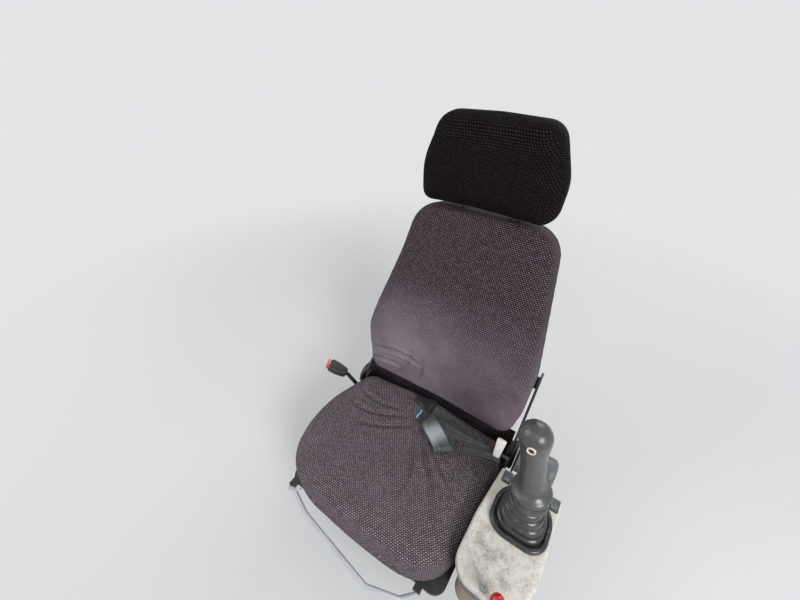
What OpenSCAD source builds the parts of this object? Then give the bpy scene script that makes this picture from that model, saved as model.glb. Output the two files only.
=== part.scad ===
// Operator seat with a tilting left-hand joystick console, for a compact wheeled machine.
// The seat faces -Y, +X is the sitter's left and +Z is up.
// The origin is the centre of the mounting holes, on the underside of the mounting bars.

/* [Mounting bars] */
// Spacing of the mounting holes across the seat
bolt_spacing_x = 330; // [320:2:350]
// Spacing of the mounting holes along the seat
bolt_spacing_y = 286; // [270:2:300]
// Radius of the mounting holes
bolt_hole_r = 4.5; // [3:0.5:6]
// Length of each mounting bar
bar_length = 380; // [370:2:400]
// Width of each mounting bar
bar_width = 50; // [36:2:60]
// Thickness of each mounting bar
bar_thickness = 6; // [4:1:10]

/* [Suspension] */
// Width of the lower suspension plate
lower_plate_width = 280; // [240:5:295]
// Length of the lower suspension plate
lower_plate_length = 340; // [320:5:380]
// Width of the upper suspension plate
upper_plate_width = 350; // [345:5:400]
// Length of the upper suspension plate and of the rails on it
upper_plate_length = 370; // [340:5:400]
// Thickness of both suspension plates
plate_thickness = 10; // [6:1:14]
// Height of the bellows between the plates
bellows_height = 120; // [80:2:150]
// Number of folds in the bellows
bellows_folds = 6; // [3:1:8]
// Depth of each fold
fold_depth = 9; // [5:1:14]
// How far the bellows stands in from the lower plate's edge
bellows_inset = 6; // [4:1:14]
// Radius of the weight adjuster knob
adjuster_r = 17; // [12:1:20]

/* [Slide rails] */
// Distance of each rail from the side edge of the upper plate
rail_margin = 5; // [2:1:12]
// Width of the fixed rails
rail_width = 44; // [38:1:48]
// Height of the fixed rails
rail_height = 18; // [16:1:24]
// Wall of the fixed rails
rail_wall = 3; // [2:0.5:4]
// Running clearance round the sliding rails
rail_clearance = 1; // [0.5:0.25:1.5]

/* [Seat] */
// Thickness of the pan
pan_thickness = 12; // [8:1:16]
// Front edge of the pan
pan_front = -262; // [-270:1:-250]
// Rear edge of the pan
pan_rear = 152; // [150:1:170]
// Width of the cushion across its front
cushion_width = 486; // [460:2:500]
// How far the rear edge reaches under the backrest in its middle
cushion_tuck = 22; // [4:1:24]
// How far the corner of the free side's bow stands out
cushion_bow = 40; // [10:2:46]
// How far each side of the cushion stands out over the pan
cushion_overhang = 7; // [6:1:12]
// Front edge of the cushion
cushion_front = -286; // [-290:1:-280]
// Rear edge of the cushion
cushion_rear = 100; // [80:1:104]
// Height of the cushion
cushion_height = 112; // [90:2:114]
// Depth of the hollow along the middle of the cushion
cushion_dish = 8; // [2:1:14]
// Radius of the bail's tube
bail_r = 5; // [4:0.5:7]
// Length of the bail's straight front
bail_width = 212; // [180:4:240]
// Radius of the bail's bends
bail_bend = 16; // [12:1:20]
// How far the bail's front stands ahead of the pan
bail_reach = 58; // [52:2:70]
// How far the bail's front stands above its ends
bail_rise = 30; // [20:2:36]
// How far the bail sits from the pan's middle, away from the console
bail_offset = 16; // [0:1:18]
// How far the bail's bends lead at the console's end, and trail at the other
bail_skew = 14; // [0:1:16]
// Distance of each bail lug from the side of the pan
lug_margin = 36; // [32:1:44]

/* [Backrest] */
// Recline of the backrest at rest, from upright
recline = 18.2; // [12:0.2:24]
// Place of the recline pivot along the seat
pivot_y = 115; // [112:1:125]
// Height of the recline pivot above the pan
pivot_rise = 52; // [48:1:60]
// Clearance between the backrest and each side arm
arm_clearance = 0.5; // [0.5:0.25:3]
// Width of the backrest at its shoulders
back_top_width = 362; // [350:2:400]
// Distance from the pivot to the pad's foot, along the backrest
back_foot = 60; // [58:1:66]
// How far the pad's lower edge arches up in its middle
back_arch = 8; // [2:1:14]
// Length of the backrest pad
back_length = 548; // [500:2:580]
// Front face of the pad, ahead of the pivot
back_face = -34; // [-38:1:-30]
// How far the pad swells forwards at the small of the back
lumbar_depth = 58; // [30:2:64]
// Height of the swell's crest along the backrest
lumbar_z = 256; // [220:4:280]
// Thickness of the pad
back_thickness = 78; // [70:1:86]
// Depth of the rear shell
shell_depth = 28; // [24:1:40]
// Thickness of the recliner's steel plates
steel_thickness = 6; // [4:0.5:8]
// Radius of the recline pivot's pin
pivot_pin_r = 8; // [6:0.5:10]
// Radius of the recliner's round covers
cover_r = 40; // [34:1:41]

/* [Headrest] */
// Width of the headrest at its widest
headrest_width = 330; // [300:2:340]
// Height of the headrest
headrest_height = 198; // [160:2:210]
// Thickness of the headrest
headrest_thickness = 96; // [90:2:104]
// How far the headrest's face stands ahead of the pad's
headrest_lead = 34; // [28:1:40]
// Forward tilt of the headrest against the backrest
headrest_tilt = 16; // [8:1:20]
// How far the headrest's front rolls down at its top
headrest_roll = 20; // [6:1:26]
// Distance of each headrest post from the middle
post_x = 70; // [55:1:90]
// Radius of the headrest posts
post_r = 6; // [5:0.5:7]
// Travel of the headrest
headrest_travel = 60; // [20:5:60]

/* [Console] */
// Gap between the cushion and the console
console_gap = 5; // [5:1:16]
// Width of the console
pod_width = 138; // [134:1:160]
// Front end of the console
pod_front = -240; // [-270:2:-230]
// Rear end of the console
pod_rear = 16; // [10:1:18]
// Underside of the console
pod_bottom = 190; // [180:2:196]
// Top of the console
pod_top = 332; // [316:2:344]
// Depth of the top shell's sides
top_depth = 26; // [20:1:34]
// Height of the dark band below the top shell
band_height = 24; // [14:1:34]
// Wall of the console's shells
pod_wall = 4; // [3:0.5:6]
// Place of the console's pivot along the seat
hub_y = 80; // [78:1:84]
// Height of the console's pivot
hub_z = 300; // [294:1:310]
// Radius of the console's pivot housing
hub_r = 38; // [30:1:39]
// Radius of the console's pivot shaft
shaft_r = 12; // [8:0.5:16]

/* [Joystick] */
// Place of the joystick along the seat
stick_y = -66; // [-80:1:-62]
// Half of the width of the boot's ring
boot_r = 62; // [56:1:62]
// Height of the boot's ring
boot_ring_height = 10; // [6:1:14]
// Number of steps in the boot
boot_steps = 4; // [2:1:6]
// Height of the boot, ring to collar
boot_height = 74; // [56:2:80]
// Radius of the bell at the joystick's foot
bell_r = 39; // [34:1:42]
// Radius of the ring under the bell
collar_r = 35; // [30:1:38]
// Radius of the joystick's neck
neck_r = 23.5; // [18:0.5:25]
// Radius of the joystick's head
head_r = 30; // [26:0.5:34]
// Length of the joystick from its collar's foot to its crown
stick_length = 215; // [190:1:240]
// Lean of the joystick
stick_lean = 12.9; // [0:0.1:16]
// Direction of the lean, 180 towards the seat
stick_azimuth = 158; // [90:2:200]
// Radius of the joystick's button
button_r = 6.5; // [4:0.5:8]

/* [Belt] */
// Width of the belt's webbing
belt_width = 47; // [40:1:50]
// Thickness of the belt's webbing
belt_thickness = 2.4; // [1.6:0.2:3]
// Length of the buckle
buckle_length = 72; // [56:2:80]
// Width of the buckle
buckle_width = 40; // [32:1:48]
// Depth of the buckle
buckle_depth = 24; // [18:1:28]

/* [Hidden] */
$fn = 64;
// Gap left between pieces that only rest on or beside each other
seat_gap = 0.3;
// Radial clearance of a pin that turns or slides in its bore
pin_clearance = 0.05;

bar_y = bolt_spacing_y / 2;
lower_plate_z = bar_thickness;
rail_length = upper_plate_length;
rail_x = upper_plate_width / 2 - rail_width / 2 - rail_margin;
bellows_z = lower_plate_z + plate_thickness;
upper_plate_z = bellows_z + bellows_height;
rail_z = upper_plate_z + plate_thickness;
rail_foot = rail_height - 2 * rail_wall - 2 * rail_clearance;
slide_gap = 6;
rail_flange = 6;
pan_z = rail_z + rail_height + slide_gap + rail_flange;
cushion_z = pan_z + pan_thickness;
pan_half_width = cushion_width / 2 - cushion_overhang;
lug_x = pan_half_width - lug_margin;
cushion_top = cushion_z + cushion_height;

pivot_z = cushion_z + pivot_rise;
back_rear = back_face + back_thickness;
back_top = back_foot + back_length;
plate_x = pan_half_width;
arm_x = plate_x + steel_thickness + 0.5;
back_width = 2 * (arm_x - arm_clearance);
cover_x = arm_x + steel_thickness + 0.8;
cover_depth = 12.5;

headrest_foot = back_top + 5;
headrest_face = back_face - headrest_lead;
post_y = 0;
sleeve_r = 9.5;
sleeve_length = 106;
sleeve_top = back_top + seat_gap + 4;
post_bottom = sleeve_top - sleeve_length - headrest_travel - 8;
post_top = headrest_foot + 50;
pocket_r = sleeve_r + 2;

hub_inner = cover_x + cover_depth + 6.5;
hub_outer = hub_inner + 90;
cheek_thickness = 5;
cheek_x = hub_inner - cheek_thickness - 0.4;
pod_inner = cushion_width / 2 + console_gap;
pod_outer = pod_inner + pod_width;
pod_middle = (pod_inner + pod_outer) / 2;
top_z = pod_top - top_depth;
band_z = top_z - band_height;
beam_width = 40;
beam_height = 24;
beam_z = pod_bottom + pod_wall;
beam_end = pod_front + 50;

stick_x = pod_middle + 1;
collar_z = pod_top + boot_ring_height + boot_height;
boot_lip = 12;
rocker_width = 20;
rocker_length = 29;
rocker_x = 54;
rocker_y = pod_rear - 20;
knob_r = 13;
lever_x = pod_middle + 8;
screw_x = pod_middle - 17;
screw_y = pod_front + 15;
belt_z = cushion_top + seat_gap;

// Unit vector along v
function unit(v) = v / norm(v);

// Arc of radius r that rounds the corner b between its neighbours a and c
function corner_arc(a, b, c, r, steps = 8) =
    let (
        to_a = unit(a - b),
        to_c = unit(c - b),
        half = acos(to_a * to_c) / 2,
        centre = b + unit(to_a + to_c) * r / sin(half),
        first = b + to_a * r / tan(half) - centre,
        last = b + to_c * r / tan(half) - centre,
        start = atan2(first.y, first.x),
        sweep = ((atan2(last.y, last.x) - start + 540) % 360) - 180
    )
    [for (i = [0:steps]) centre + r * [cos(start + sweep * i / steps), sin(start + sweep * i / steps)]];

// Outline through corners given as [x, y, radius]
function rounded(corners) =
    let (count = len(corners))
    [for (i = [0:count - 1])
        let (
            a = corners[(i + count - 1) % count],
            b = corners[i],
            c = corners[(i + 1) % count]
        )
        each corner_arc([a.x, a.y], [b.x, b.y], [c.x, c.y], b.z)];

// Rectangle x0..x1 by y0..y1 with one corner radius
function box_corners(x0, x1, y0, y1, r) = [[x0, y0, r], [x1, y0, r], [x1, y1, r], [x0, y1, r]];

// Rounded plate centred on the origin
module plate(width, length, height, r) {
    linear_extrude(height)
        polygon(rounded(box_corners(-width / 2, width / 2, -length / 2, length / 2, r)));
}

// The same corners moved in by a distance, each along its own bisector
function inset(corners, distance) =
    let (count = len(corners))
    [for (i = [0:count - 1])
        let (
            b = [corners[i].x, corners[i].y],
            to_a = unit([corners[(i + count - 1) % count].x, corners[(i + count - 1) % count].y] - b),
            to_c = unit([corners[(i + 1) % count].x, corners[(i + 1) % count].y] - b),
            step = sign(cross(to_c, to_a)) * distance,
            moved = b + unit(to_a + to_c) * step / sin(acos(to_a * to_c) / 2)
        )
        [moved.x, moved.y, max(corners[i].z - step, 2)]];

// Outline inset at one layer's height, then drawn in to its own middle by the layer's share
function layer_ring(corners, layer) =
    let (
        ring = rounded(inset(corners, layer[1])),
        share = len(layer) > 2 ? layer[2] : 1,
        middle = [for (k = [0, 1]) (min([for (p = ring) p[k]]) + max([for (p = ring) p[k]])) / 2]
    )
    [for (p = ring) let (q = middle + share * (p - middle)) [q.x, q.y, layer[0]]];

// Closed pad: the outline at each [height, inset, share] layer, with facets between the layers.
// The form moves each point of the pad
module layered_pad(corners, layers, form = function(p) p) {
    rings = [for (layer = layers) [for (p = layer_ring(corners, layer)) form(p)]];
    count = len(rings[0]);
    last = (len(layers) - 1) * count;
    sides = [for (k = [0:len(layers) - 2], i = [0:count - 1])
        let (a = k * count + i, b = k * count + (i + 1) % count)
        each [[a, a + count, b + count], [a, b + count, b]]];
    polyhedron(
        points = [for (ring = rings) each ring],
        faces = concat([[for (i = [0:count - 1]) i]], sides, [[for (i = [count - 1:-1:0]) last + i]])
    );
}

// Puts a piece drawn at the recline pivot, upright, at the recline of rest
module reclined() {
    translate([0, pivot_y, pivot_z])
        rotate([-recline, 0, 0])
            children();
}

// Stands a shape drawn in XY up in XZ, its height running forwards from y
module standing(y) {
    translate([0, y, 0])
        rotate([90, 0, 0])
            children();
}

// Turns an outline drawn in YZ as (x, y) to lie across X, from x0 for the given thickness
module across(x0, thickness) {
    translate([x0, 0, 0])
        rotate([90, 0, 90])
            linear_extrude(thickness)
                children();
}

// Draws a left-hand piece on the given side: 1 is left, -1 is right
module on_side(side) {
    mirror([side > 0 ? 0 : 1, 0, 0])
        children();
}

// Round rod from one point to another
module rod(a, b, r) {
    along = b - a;
    translate(a)
        rotate([0, acos(along.z / norm(along)), atan2(along.y, along.x)])
            cylinder(h = norm(along), r = r);
}

// Points of the arc that rounds a corner between two straights in space
function bend_points(before, corner, after, bend_r, steps = 5) =
    let (
        along = unit(corner - before),
        turn = 180 - acos(unit(before - corner) * unit(after - corner)),
        inward = unit(unit(before - corner) + unit(after - corner)),
        middle = corner + inward * bend_r / cos(turn / 2),
        out = unit(corner - along * bend_r * tan(turn / 2) - middle)
    )
    [for (i = [0:steps]) middle + bend_r * (out * cos(turn * i / steps) + along * sin(turn * i / steps))];

// Rod swept through a list of points, none straight above another, and bent to one radius at each inner one
module bent_rod(points, r, bend_r, sides = 12) {
    last = len(points) - 1;
    path = [
        points[0],
        for (i = [1:last - 1]) each bend_points(points[i - 1], points[i], points[i + 1], bend_r),
        points[last]
    ];
    end = len(path) - 1;
    rings = [for (i = [0:end])
        let (
            along = unit(path[min(i + 1, end)] - path[max(i - 1, 0)]),
            side = unit(cross(along, [0, 0, 1])),
            up = cross(side, along)
        )
        [for (k = [0:sides - 1]) path[i] + r * (side * cos(360 * k / sides) + up * sin(360 * k / sides))]];
    walls = [for (i = [0:end - 1], k = [0:sides - 1])
        let (a = i * sides + k, b = i * sides + (k + 1) % sides)
        each [[a, b, b + sides], [a, b + sides, a + sides]]];
    polyhedron(
        points = [for (ring = rings) each ring],
        faces = concat([[for (k = [sides - 1:-1:0]) k]], walls, [[for (k = [0:sides - 1]) end * sides + k]])
    );
}

// Two posts and the bar across their tops, with ball corners a little fuller than the rod
module post_frame(foot, r, fuller = 0.2) {
    for (side = [-1, 1]) {
        translate([side * post_x, post_y, foot])
            cylinder(h = post_top - foot, r = r);
        translate([side * post_x, post_y, post_top])
            sphere(r = r + fuller);
    }
    rod([-post_x, post_y, post_top], [post_x, post_y, post_top], r);
}

module mount_bar(y) {
    color("dimgray")
        difference() {
            translate([-bar_length / 2, y - bar_width / 2, 0])
                cube([bar_length, bar_width, bar_thickness]);
            for (x = [-bolt_spacing_x / 2, bolt_spacing_x / 2])
                translate([x, y, -1])
                    cylinder(h = bar_thickness + 2, r = bolt_hole_r);
        }
}

module suspension_lower_plate() {
    color("dimgray")
        translate([0, 0, lower_plate_z])
            plate(lower_plate_width, lower_plate_length, plate_thickness, 20);
}

module suspension_bellows() {
    pitch = bellows_height / bellows_folds;
    width = lower_plate_width - 2 * bellows_inset;
    length = lower_plate_length - 2 * bellows_inset;
    color("#1c1c1d")
        translate([0, 0, bellows_z]) {
            plate(width - 2 * fold_depth, length - 2 * fold_depth, bellows_height, 30);
            for (i = [0:bellows_folds - 1])
                translate([0, 0, pitch * (i + 0.25)])
                    plate(width, length, pitch / 2, 34);
        }
}

module suspension_upper_plate() {
    color("dimgray")
        translate([0, 0, upper_plate_z])
            plate(upper_plate_width, upper_plate_length, plate_thickness, 20);
}

// The knob stands out of the upper plate's front edge on a short shaft
module weight_adjuster() {
    shaft = 16;
    knob = 26;
    color("#1c1c1d")
        translate([0, -upper_plate_length / 2, upper_plate_z + plate_thickness / 2])
            rotate([90, 0, 0]) {
                cylinder(h = shaft, r = 4);
                translate([0, 0, shaft])
                    rotate_extrude()
                        polygon([[0, 0], [adjuster_r - 3, 0], [adjuster_r, 4], [adjuster_r, knob - 5],
                                 [adjuster_r - 4, knob], [0, knob]]);
            }
}

// Fixed rail: a channel whose lips hold the foot of the sliding rail
module rail_fixed(side) {
    slot = rail_width - 4 * rail_wall - 2 * rail_clearance - 8;
    color("silver")
        translate([side * rail_x, 0, rail_z])
            rotate([90, 0, 0])
                linear_extrude(rail_length, center = true)
                    difference() {
                        translate([-rail_width / 2, 0])
                            square([rail_width, rail_height]);
                        translate([-rail_width / 2 + rail_wall, rail_wall])
                            square([rail_width - 2 * rail_wall, rail_height - 2 * rail_wall]);
                        translate([-slot / 2, rail_height / 2])
                            square([slot, rail_height]);
                    }
}

// Sliding rail: a foot inside the channel, a web through its slot and a flange under the pan
module rail_sliding(side) {
    foot = rail_width - 2 * rail_wall - 2 * rail_clearance;
    slot = rail_width - 4 * rail_wall - 2 * rail_clearance - 8;
    web = slot - 2 * rail_clearance;
    foot_z = rail_wall + seat_gap;
    flange_z = rail_height + slide_gap;
    color("gainsboro")
        translate([side * rail_x, 0, rail_z])
            rotate([90, 0, 0])
                linear_extrude(rail_length, center = true) {
                    translate([-foot / 2, foot_z])
                        square([foot, rail_foot]);
                    translate([-web / 2, foot_z])
                        square([web, flange_z - foot_z + 1]);
                    translate([-rail_width / 2, flange_z])
                        square([rail_width, rail_flange]);
                }
}

// Lugs on the pan's front edge that hold the ends of the bail, and how deep their roots lie in the pan
lug_width = 18;
lug_reach = 14;
lug_root = 12;

module seat_pan() {
    color("#242426")
        translate([0, 0, pan_z]) {
            linear_extrude(pan_thickness)
                polygon(rounded([
                    [-pan_half_width, pan_front, 30], [pan_half_width, pan_front, 30],
                    [pan_half_width, pan_rear, 12], [-pan_half_width, pan_rear, 12]
                ]));
            for (side = [-1, 1])
                translate([side * lug_x - bail_offset - lug_width / 2, pan_front - lug_reach, 0])
                    cube([lug_width, lug_reach + lug_root, pan_thickness]);
        }
}

// The free side bows out, and the console's side is straight
function cushion_corners() = [
    [-cushion_width / 2 + 17, cushion_front + 10, 130],
    [0, cushion_front, 400],
    [cushion_width / 2 - 17, cushion_front + 10, 110],
    [cushion_width / 2, cushion_front + 146, 300],
    [cushion_width / 2 - 5, cushion_rear, 50],
    [0, cushion_rear + cushion_tuck, 400],
    [-cushion_width / 2 + 21, cushion_rear - 2, 55],
    [-cushion_width / 2 - cushion_bow, cushion_front + 196, 300]
];

// The top is hollowed along the middle by a wide shallow cylinder
module cushion() {
    dish_r = 900;
    color("#4d434b")
        difference() {
            translate([0, 0, cushion_z])
                layered_pad(cushion_corners(), [
                    [0, 22], [26, 4], [48, 0], [cushion_height - 34, 0],
                    [cushion_height - 12, 6], [cushion_height, 20]
                ]);
            translate([0, cushion_rear + cushion_tuck + 1, cushion_top + dish_r - cushion_dish])
                rotate([90, 0, 0])
                    cylinder(h = cushion_rear + cushion_tuck - cushion_front - 22, r = dish_r, $fn = 360);
        }
}

// Grey bail in front of the cushion, held by the pan's lugs
module bail_handle() {
    root_z = pan_z + pan_thickness / 2;
    root_y = pan_front - lug_reach - 0.9 * bail_r - seat_gap;
    // one end, from its lug to the straight front
    end = function(side) [
        [side * lug_x, root_y, root_z],
        [side * (lug_x - 22), pan_front - 0.57 * bail_reach - side * bail_skew, root_z + 0.73 * bail_rise],
        [side * bail_width / 2, pan_front - bail_reach - side * bail_skew, root_z + bail_rise]
    ];
    console_end = end(1);
    color("#b9bcbe")
        translate([-bail_offset, 0, 0])
            bent_rod([each end(-1), for (i = [2:-1:0]) console_end[i]], bail_r, bail_bend);
}

// Steel plate on the pan's side, with the pin that the backrest turns on
module recliner_plate(side) {
    foot_y = [60, 150];
    hub = 32;
    color("#2a2a2c")
        on_side(side) {
            across(plate_x, steel_thickness) {
                translate([pivot_y, pivot_z])
                    circle(r = hub);
                polygon([[foot_y[0], pan_z], [foot_y[1], pan_z], [pivot_y + hub, pivot_z], [pivot_y - hub, pivot_z]]);
            }
            translate([plate_x + steel_thickness - 1, pivot_y, pivot_z])
                rotate([0, 90, 0])
                    cylinder(h = cover_x - plate_x - steel_thickness + 1, r = pivot_pin_r);
        }
}

// Round plastic cover on the end of the pivot pin
module recliner_cover(side) {
    color("#202022")
        on_side(side)
            translate([cover_x, pivot_y, pivot_z])
                rotate([0, 90, 0])
                    rotate_extrude()
                        polygon([[0, 0], [cover_r, 0], [cover_r, cover_depth - 4],
                                 [cover_r - 5, cover_depth], [0, cover_depth]]);
}

// Lever on the left, from the recliner plate up to its paddle
lever_rod_r = 4;
lever_root = [plate_x + steel_thickness + lever_rod_r + seat_gap, pivot_y - 45, pan_z + 24];
lever_knee = [cushion_width / 2 + lever_rod_r, pivot_y - 65, cushion_top + 14];
// Foot of the paddle over the cushion's edge: it leans back, and is wider at its top
paddle_foot = [cushion_width / 2 - 23, pivot_y - 71, cushion_top + 6];
paddle_length = 50;
paddle_thickness = 10;
paddle_lean = 28;
paddle_halves = [8.5, 12];
lever_tip = [paddle_foot.x + paddle_halves[0] + 0.9, lever_knee.y, lever_knee.z];

module recline_lever() {
    color("#2a2a2c") {
        rod(lever_root, lever_knee, lever_rod_r);
        translate(lever_knee)
            sphere(lever_rod_r + 1);
        rod(lever_knee, lever_tip, lever_rod_r);
    }
}

module lever_paddle() {
    foot = paddle_halves[0];
    top = paddle_halves[1];
    color("#e4e2da")
        translate(paddle_foot)
            rotate([90 - paddle_lean, 0, 0])
                translate([0, 0, -paddle_thickness / 2])
                    linear_extrude(paddle_thickness)
                        polygon(rounded([[-foot, 0, 3], [foot, 0, 3], [top, paddle_length, 3], [-top, paddle_length, 3]]));
}

// Flat strap between two points of the cushion's top
module strap(a, b, z, width = belt_width) {
    along = b - a;
    translate([a.x, a.y, z])
        rotate([0, 0, atan2(along.y, along.x)])
            translate([0, -width / 2, 0])
                cube([norm(along), width, belt_thickness]);
}

// Left end of the webbing, where it comes out between the cushion and the backrest
belt_end = [cushion_width / 2 - 31, cushion_rear - 34];
tongue_size = [60, 40, 5];
tongue_x = -42;

// Two lengths of webbing from the left, and the slack loop in front of them
module belt_webbing() {
    upper_z = belt_z + belt_thickness - 0.2;
    tongue_end = tongue_x + tongue_size.x;
    loop_y = belt_end.y - 0.47 * belt_width;
    color("#33363a") {
        strap(belt_end, [tongue_end + 2, belt_end.y + belt_width / 6], belt_z);
        strap(belt_end - [6, 16], [tongue_end + belt_width / 2, loop_y], upper_z);
        strap([tongue_end + belt_width, loop_y], [tongue_end + belt_width / 3, loop_y - 0.85 * belt_width], belt_z);
        strap([tongue_end + 4, loop_y - 0.76 * belt_width], [tongue_end + 1.8 * belt_width, loop_y - 1.15 * belt_width],
            upper_z, 0.64 * belt_width);
    }
}

module belt_tongue() {
    color("#18191b")
        translate([tongue_x, cushion_rear - tongue_size.y + 4, belt_z + 1 - cushion_dish])
            cube(tongue_size);
}

// Direction of the buckle's stalk, outwards, forwards and up
stalk_r = 6;
stalk_root = [-(plate_x + steel_thickness + stalk_r + 0.5), pivot_y - 45, pan_z + 24];
buckle_foot = [stalk_root.x - 27.5, pivot_y - 73, cushion_top - 8];
buckle_axis = [-62, -30, 46];

module buckle_stalk() {
    color("#1b1b1d")
        rod(stalk_root, buckle_foot, stalk_r);
}

module buckle() {
    along = unit(buckle_axis);
    tilt = acos(along * unit(buckle_foot - stalk_root));
    color("#17181a")
        translate(buckle_foot + along * (stalk_r * sin(tilt) + seat_gap))
            rotate([0, acos(along.z), atan2(along.y, along.x)])
                translate([-buckle_depth / 2, -buckle_width / 2, 0])
                    cube([buckle_depth, buckle_width, buckle_length]);
}

// Foot on the pan's side, cheek up to the console's pivot, and the pivot shaft
module console_bracket() {
    foot = [hub_y - 56, hub_y - 22];
    cheek_r = 24;
    color("#2a2a2c") {
        translate([plate_x, foot[0], pan_z])
            cube([cheek_x + cheek_thickness - plate_x, foot[1] - foot[0], pan_thickness]);
        across(cheek_x, cheek_thickness) {
            translate([hub_y, hub_z])
                circle(r = cheek_r);
            polygon([[foot[0], pan_z], [foot[1], pan_z], [hub_y + cheek_r, hub_z], [hub_y - cheek_r, hub_z]]);
        }
        translate([cheek_x + cheek_thickness - 1, hub_y, hub_z])
            rotate([0, 90, 0])
                cylinder(h = hub_outer - hub_inner - 10, r = shaft_r);
    }
}

// Heights of the two cross bars behind the pad
lower_bar_z = [190, 226];
upper_bar_z = [back_top - 66, back_top - 30];

// Side arm of the backrest: round at the pivot, then up behind the pad
module recliner_arm(side) {
    rear = back_rear + 22;
    hub = 28;
    top = lower_bar_z[1] + 10;
    color("#2a2a2c")
        reclined()
            on_side(side)
                difference() {
                    across(arm_x, steel_thickness)
                        polygon(rounded([
                            [-hub, -hub, hub - 2], [hub, -hub, hub - 2], [rear, 50, 20], [rear, top, 6],
                            [back_rear - 16, top, 20], [back_rear - 34, back_foot + 24, 40], [-hub, hub - 4, 18]
                        ]));
                    translate([arm_x - 1, 0, 0])
                        rotate([0, 90, 0])
                            cylinder(h = steel_thickness + 2, r = pivot_pin_r + pin_clearance);
                }
}

// Cross bars behind the pad, from arm to arm and between the headrest's sleeves
frame_y = back_rear + 2;
frame_thickness = 6;
upright_x = 120;
upright_width = 30;

module back_frame() {
    color("#2a2a2c")
        reclined() {
            translate([-arm_x, frame_y, lower_bar_z[0]])
                cube([2 * arm_x, frame_thickness, lower_bar_z[1] - lower_bar_z[0]]);
            for (x = [-upright_x, upright_x])
                translate([x - upright_width / 2, frame_y, lower_bar_z[0]])
                    cube([upright_width, frame_thickness, upper_bar_z[1] - lower_bar_z[0]]);
            translate([-upright_x, frame_y, upper_bar_z[0]])
                cube([2 * upright_x, frame_thickness, upper_bar_z[1] - upper_bar_z[0]]);
        }
}

// Front outline of the backrest: widest above its foot, narrow at the shoulders, its lower edge arched
function back_corners() = [
    [-back_width / 2 + 9, back_foot, 50],
    [0, back_foot + back_arch, 900],
    [back_width / 2 - 9, back_foot, 50],
    [back_width / 2, back_foot + 178, 160],
    [back_top_width / 2, back_top, 82],
    [-back_top_width / 2, back_top, 82],
    [-back_width / 2, back_foot + 178, 160]
];

// Swell of the pad at the small of the back, none at its rear and most at its face
lumbar_reach = 150;
swell = function(p)
    [p.x, p.y, p.z * (1 + lumbar_depth / back_thickness * exp(-((p.y - lumbar_z) / lumbar_reach) ^ 2))];

// Plastic shell over the back of the pad, open towards it
module back_shell() {
    wall = 4;
    color("#262628")
        reclined()
            difference() {
                standing(back_rear + seat_gap + shell_depth)
                    layered_pad(back_corners(), [[0, 44], [10, 20], [shell_depth, 12]]);
                standing(back_rear + seat_gap + shell_depth - wall)
                    layered_pad(back_corners(), [[0, 46 + wall], [10, 20 + wall], [shell_depth, 12 + wall]]);
                translate([-arm_x - 10, frame_y - 4, lower_bar_z[0] - 2])
                    cube([2 * arm_x + 20, frame_thickness + 6, lower_bar_z[1] - lower_bar_z[0] + 4]);
            }
}

module back_pad() {
    color("#57494f")
        reclined()
            difference() {
                standing(back_rear)
                    layered_pad(back_corners(), [
                        [0, 10], [12, 2], [28, 0], [back_thickness - 36, 0], [back_thickness - 20, 2],
                        [back_thickness - 7, 9], [back_thickness, 21], for (share = [0.85:-0.15:0.1])
                            [back_thickness + 4 * (1 - share), 21, share]
                    ], swell);
                for (x = [-post_x, post_x]) {
                    translate([x, post_y, post_bottom - 6])
                        cylinder(h = back_top - post_bottom + 20, r = pocket_r);
                    translate([x - pocket_r, post_y, upper_bar_z[0] - 4])
                        cube([2 * pocket_r, back_thickness, upper_bar_z[1] - upper_bar_z[0] + 8]);
                }
            }
}

// Guide tubes for the headrest's posts, with collars on the pad and blocks to the frame
module headrest_sleeves() {
    color("#1b1b1d")
        reclined()
            for (x = [-post_x, post_x])
                difference() {
                    union() {
                        translate([x, post_y, sleeve_top - sleeve_length])
                            cylinder(h = sleeve_length, r = sleeve_r);
                        translate([x, post_y, back_top + seat_gap])
                            cylinder(h = sleeve_top - back_top - seat_gap, r = 15);
                        translate([x - 8, post_y, upper_bar_z[0]])
                            cube([16, frame_y - post_y, upper_bar_z[1] - upper_bar_z[0]]);
                    }
                    translate([x, post_y, sleeve_top - sleeve_length - 1])
                        cylinder(h = sleeve_length + 2, r = post_r + pin_clearance);
                }
}

// Two posts, joined by a bar inside the headrest
module headrest_posts() {
    color("silver")
        reclined()
            post_frame(post_bottom, post_r);
}

// Outline of the headrest with its foot at 0: widest above its foot, narrow at its top
function headrest_corners() = [
    [-headrest_width / 2 + 4, 0, 32],
    [headrest_width / 2 - 4, 0, 32],
    [headrest_width / 2, 88, 120],
    [headrest_width / 2 - 38, headrest_height, 46],
    [-headrest_width / 2 + 38, headrest_height, 46],
    [-headrest_width / 2, 88, 120]
];

// The upper part rolls down towards the face
roll = function(p)
    let (depth = min(p.z / headrest_thickness, 1), height = max(p.y / headrest_height, 0))
    [p.x, p.y - headrest_roll * depth ^ 4 * height ^ 2, p.z];

// The pad tilts forwards from the posts, about the middle of its foot
module headrest_pad() {
    half_depth = headrest_thickness / 2;
    color("#3b3439")
        reclined()
            difference() {
                translate([0, headrest_face + half_depth, headrest_foot])
                    rotate([headrest_tilt, 0, 0])
                        standing(half_depth)
                            layered_pad(headrest_corners(), [
                                [0, 24], [12, 8], [32, 0], [headrest_thickness - 38, 0],
                                [headrest_thickness - 20, 10], [headrest_thickness - 7, 22],
                                [headrest_thickness, 36], for (share = [0.8:-0.2:0.1])
                                    [headrest_thickness + 5 * (1 - share), 36, share]
                            ], roll);
                post_frame(headrest_foot - 20, post_r + seat_gap);
            }
}

// Plan of the console: square at the rear, with its outer front corner cut back and rounded
pod_cut = [26, 70];

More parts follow.
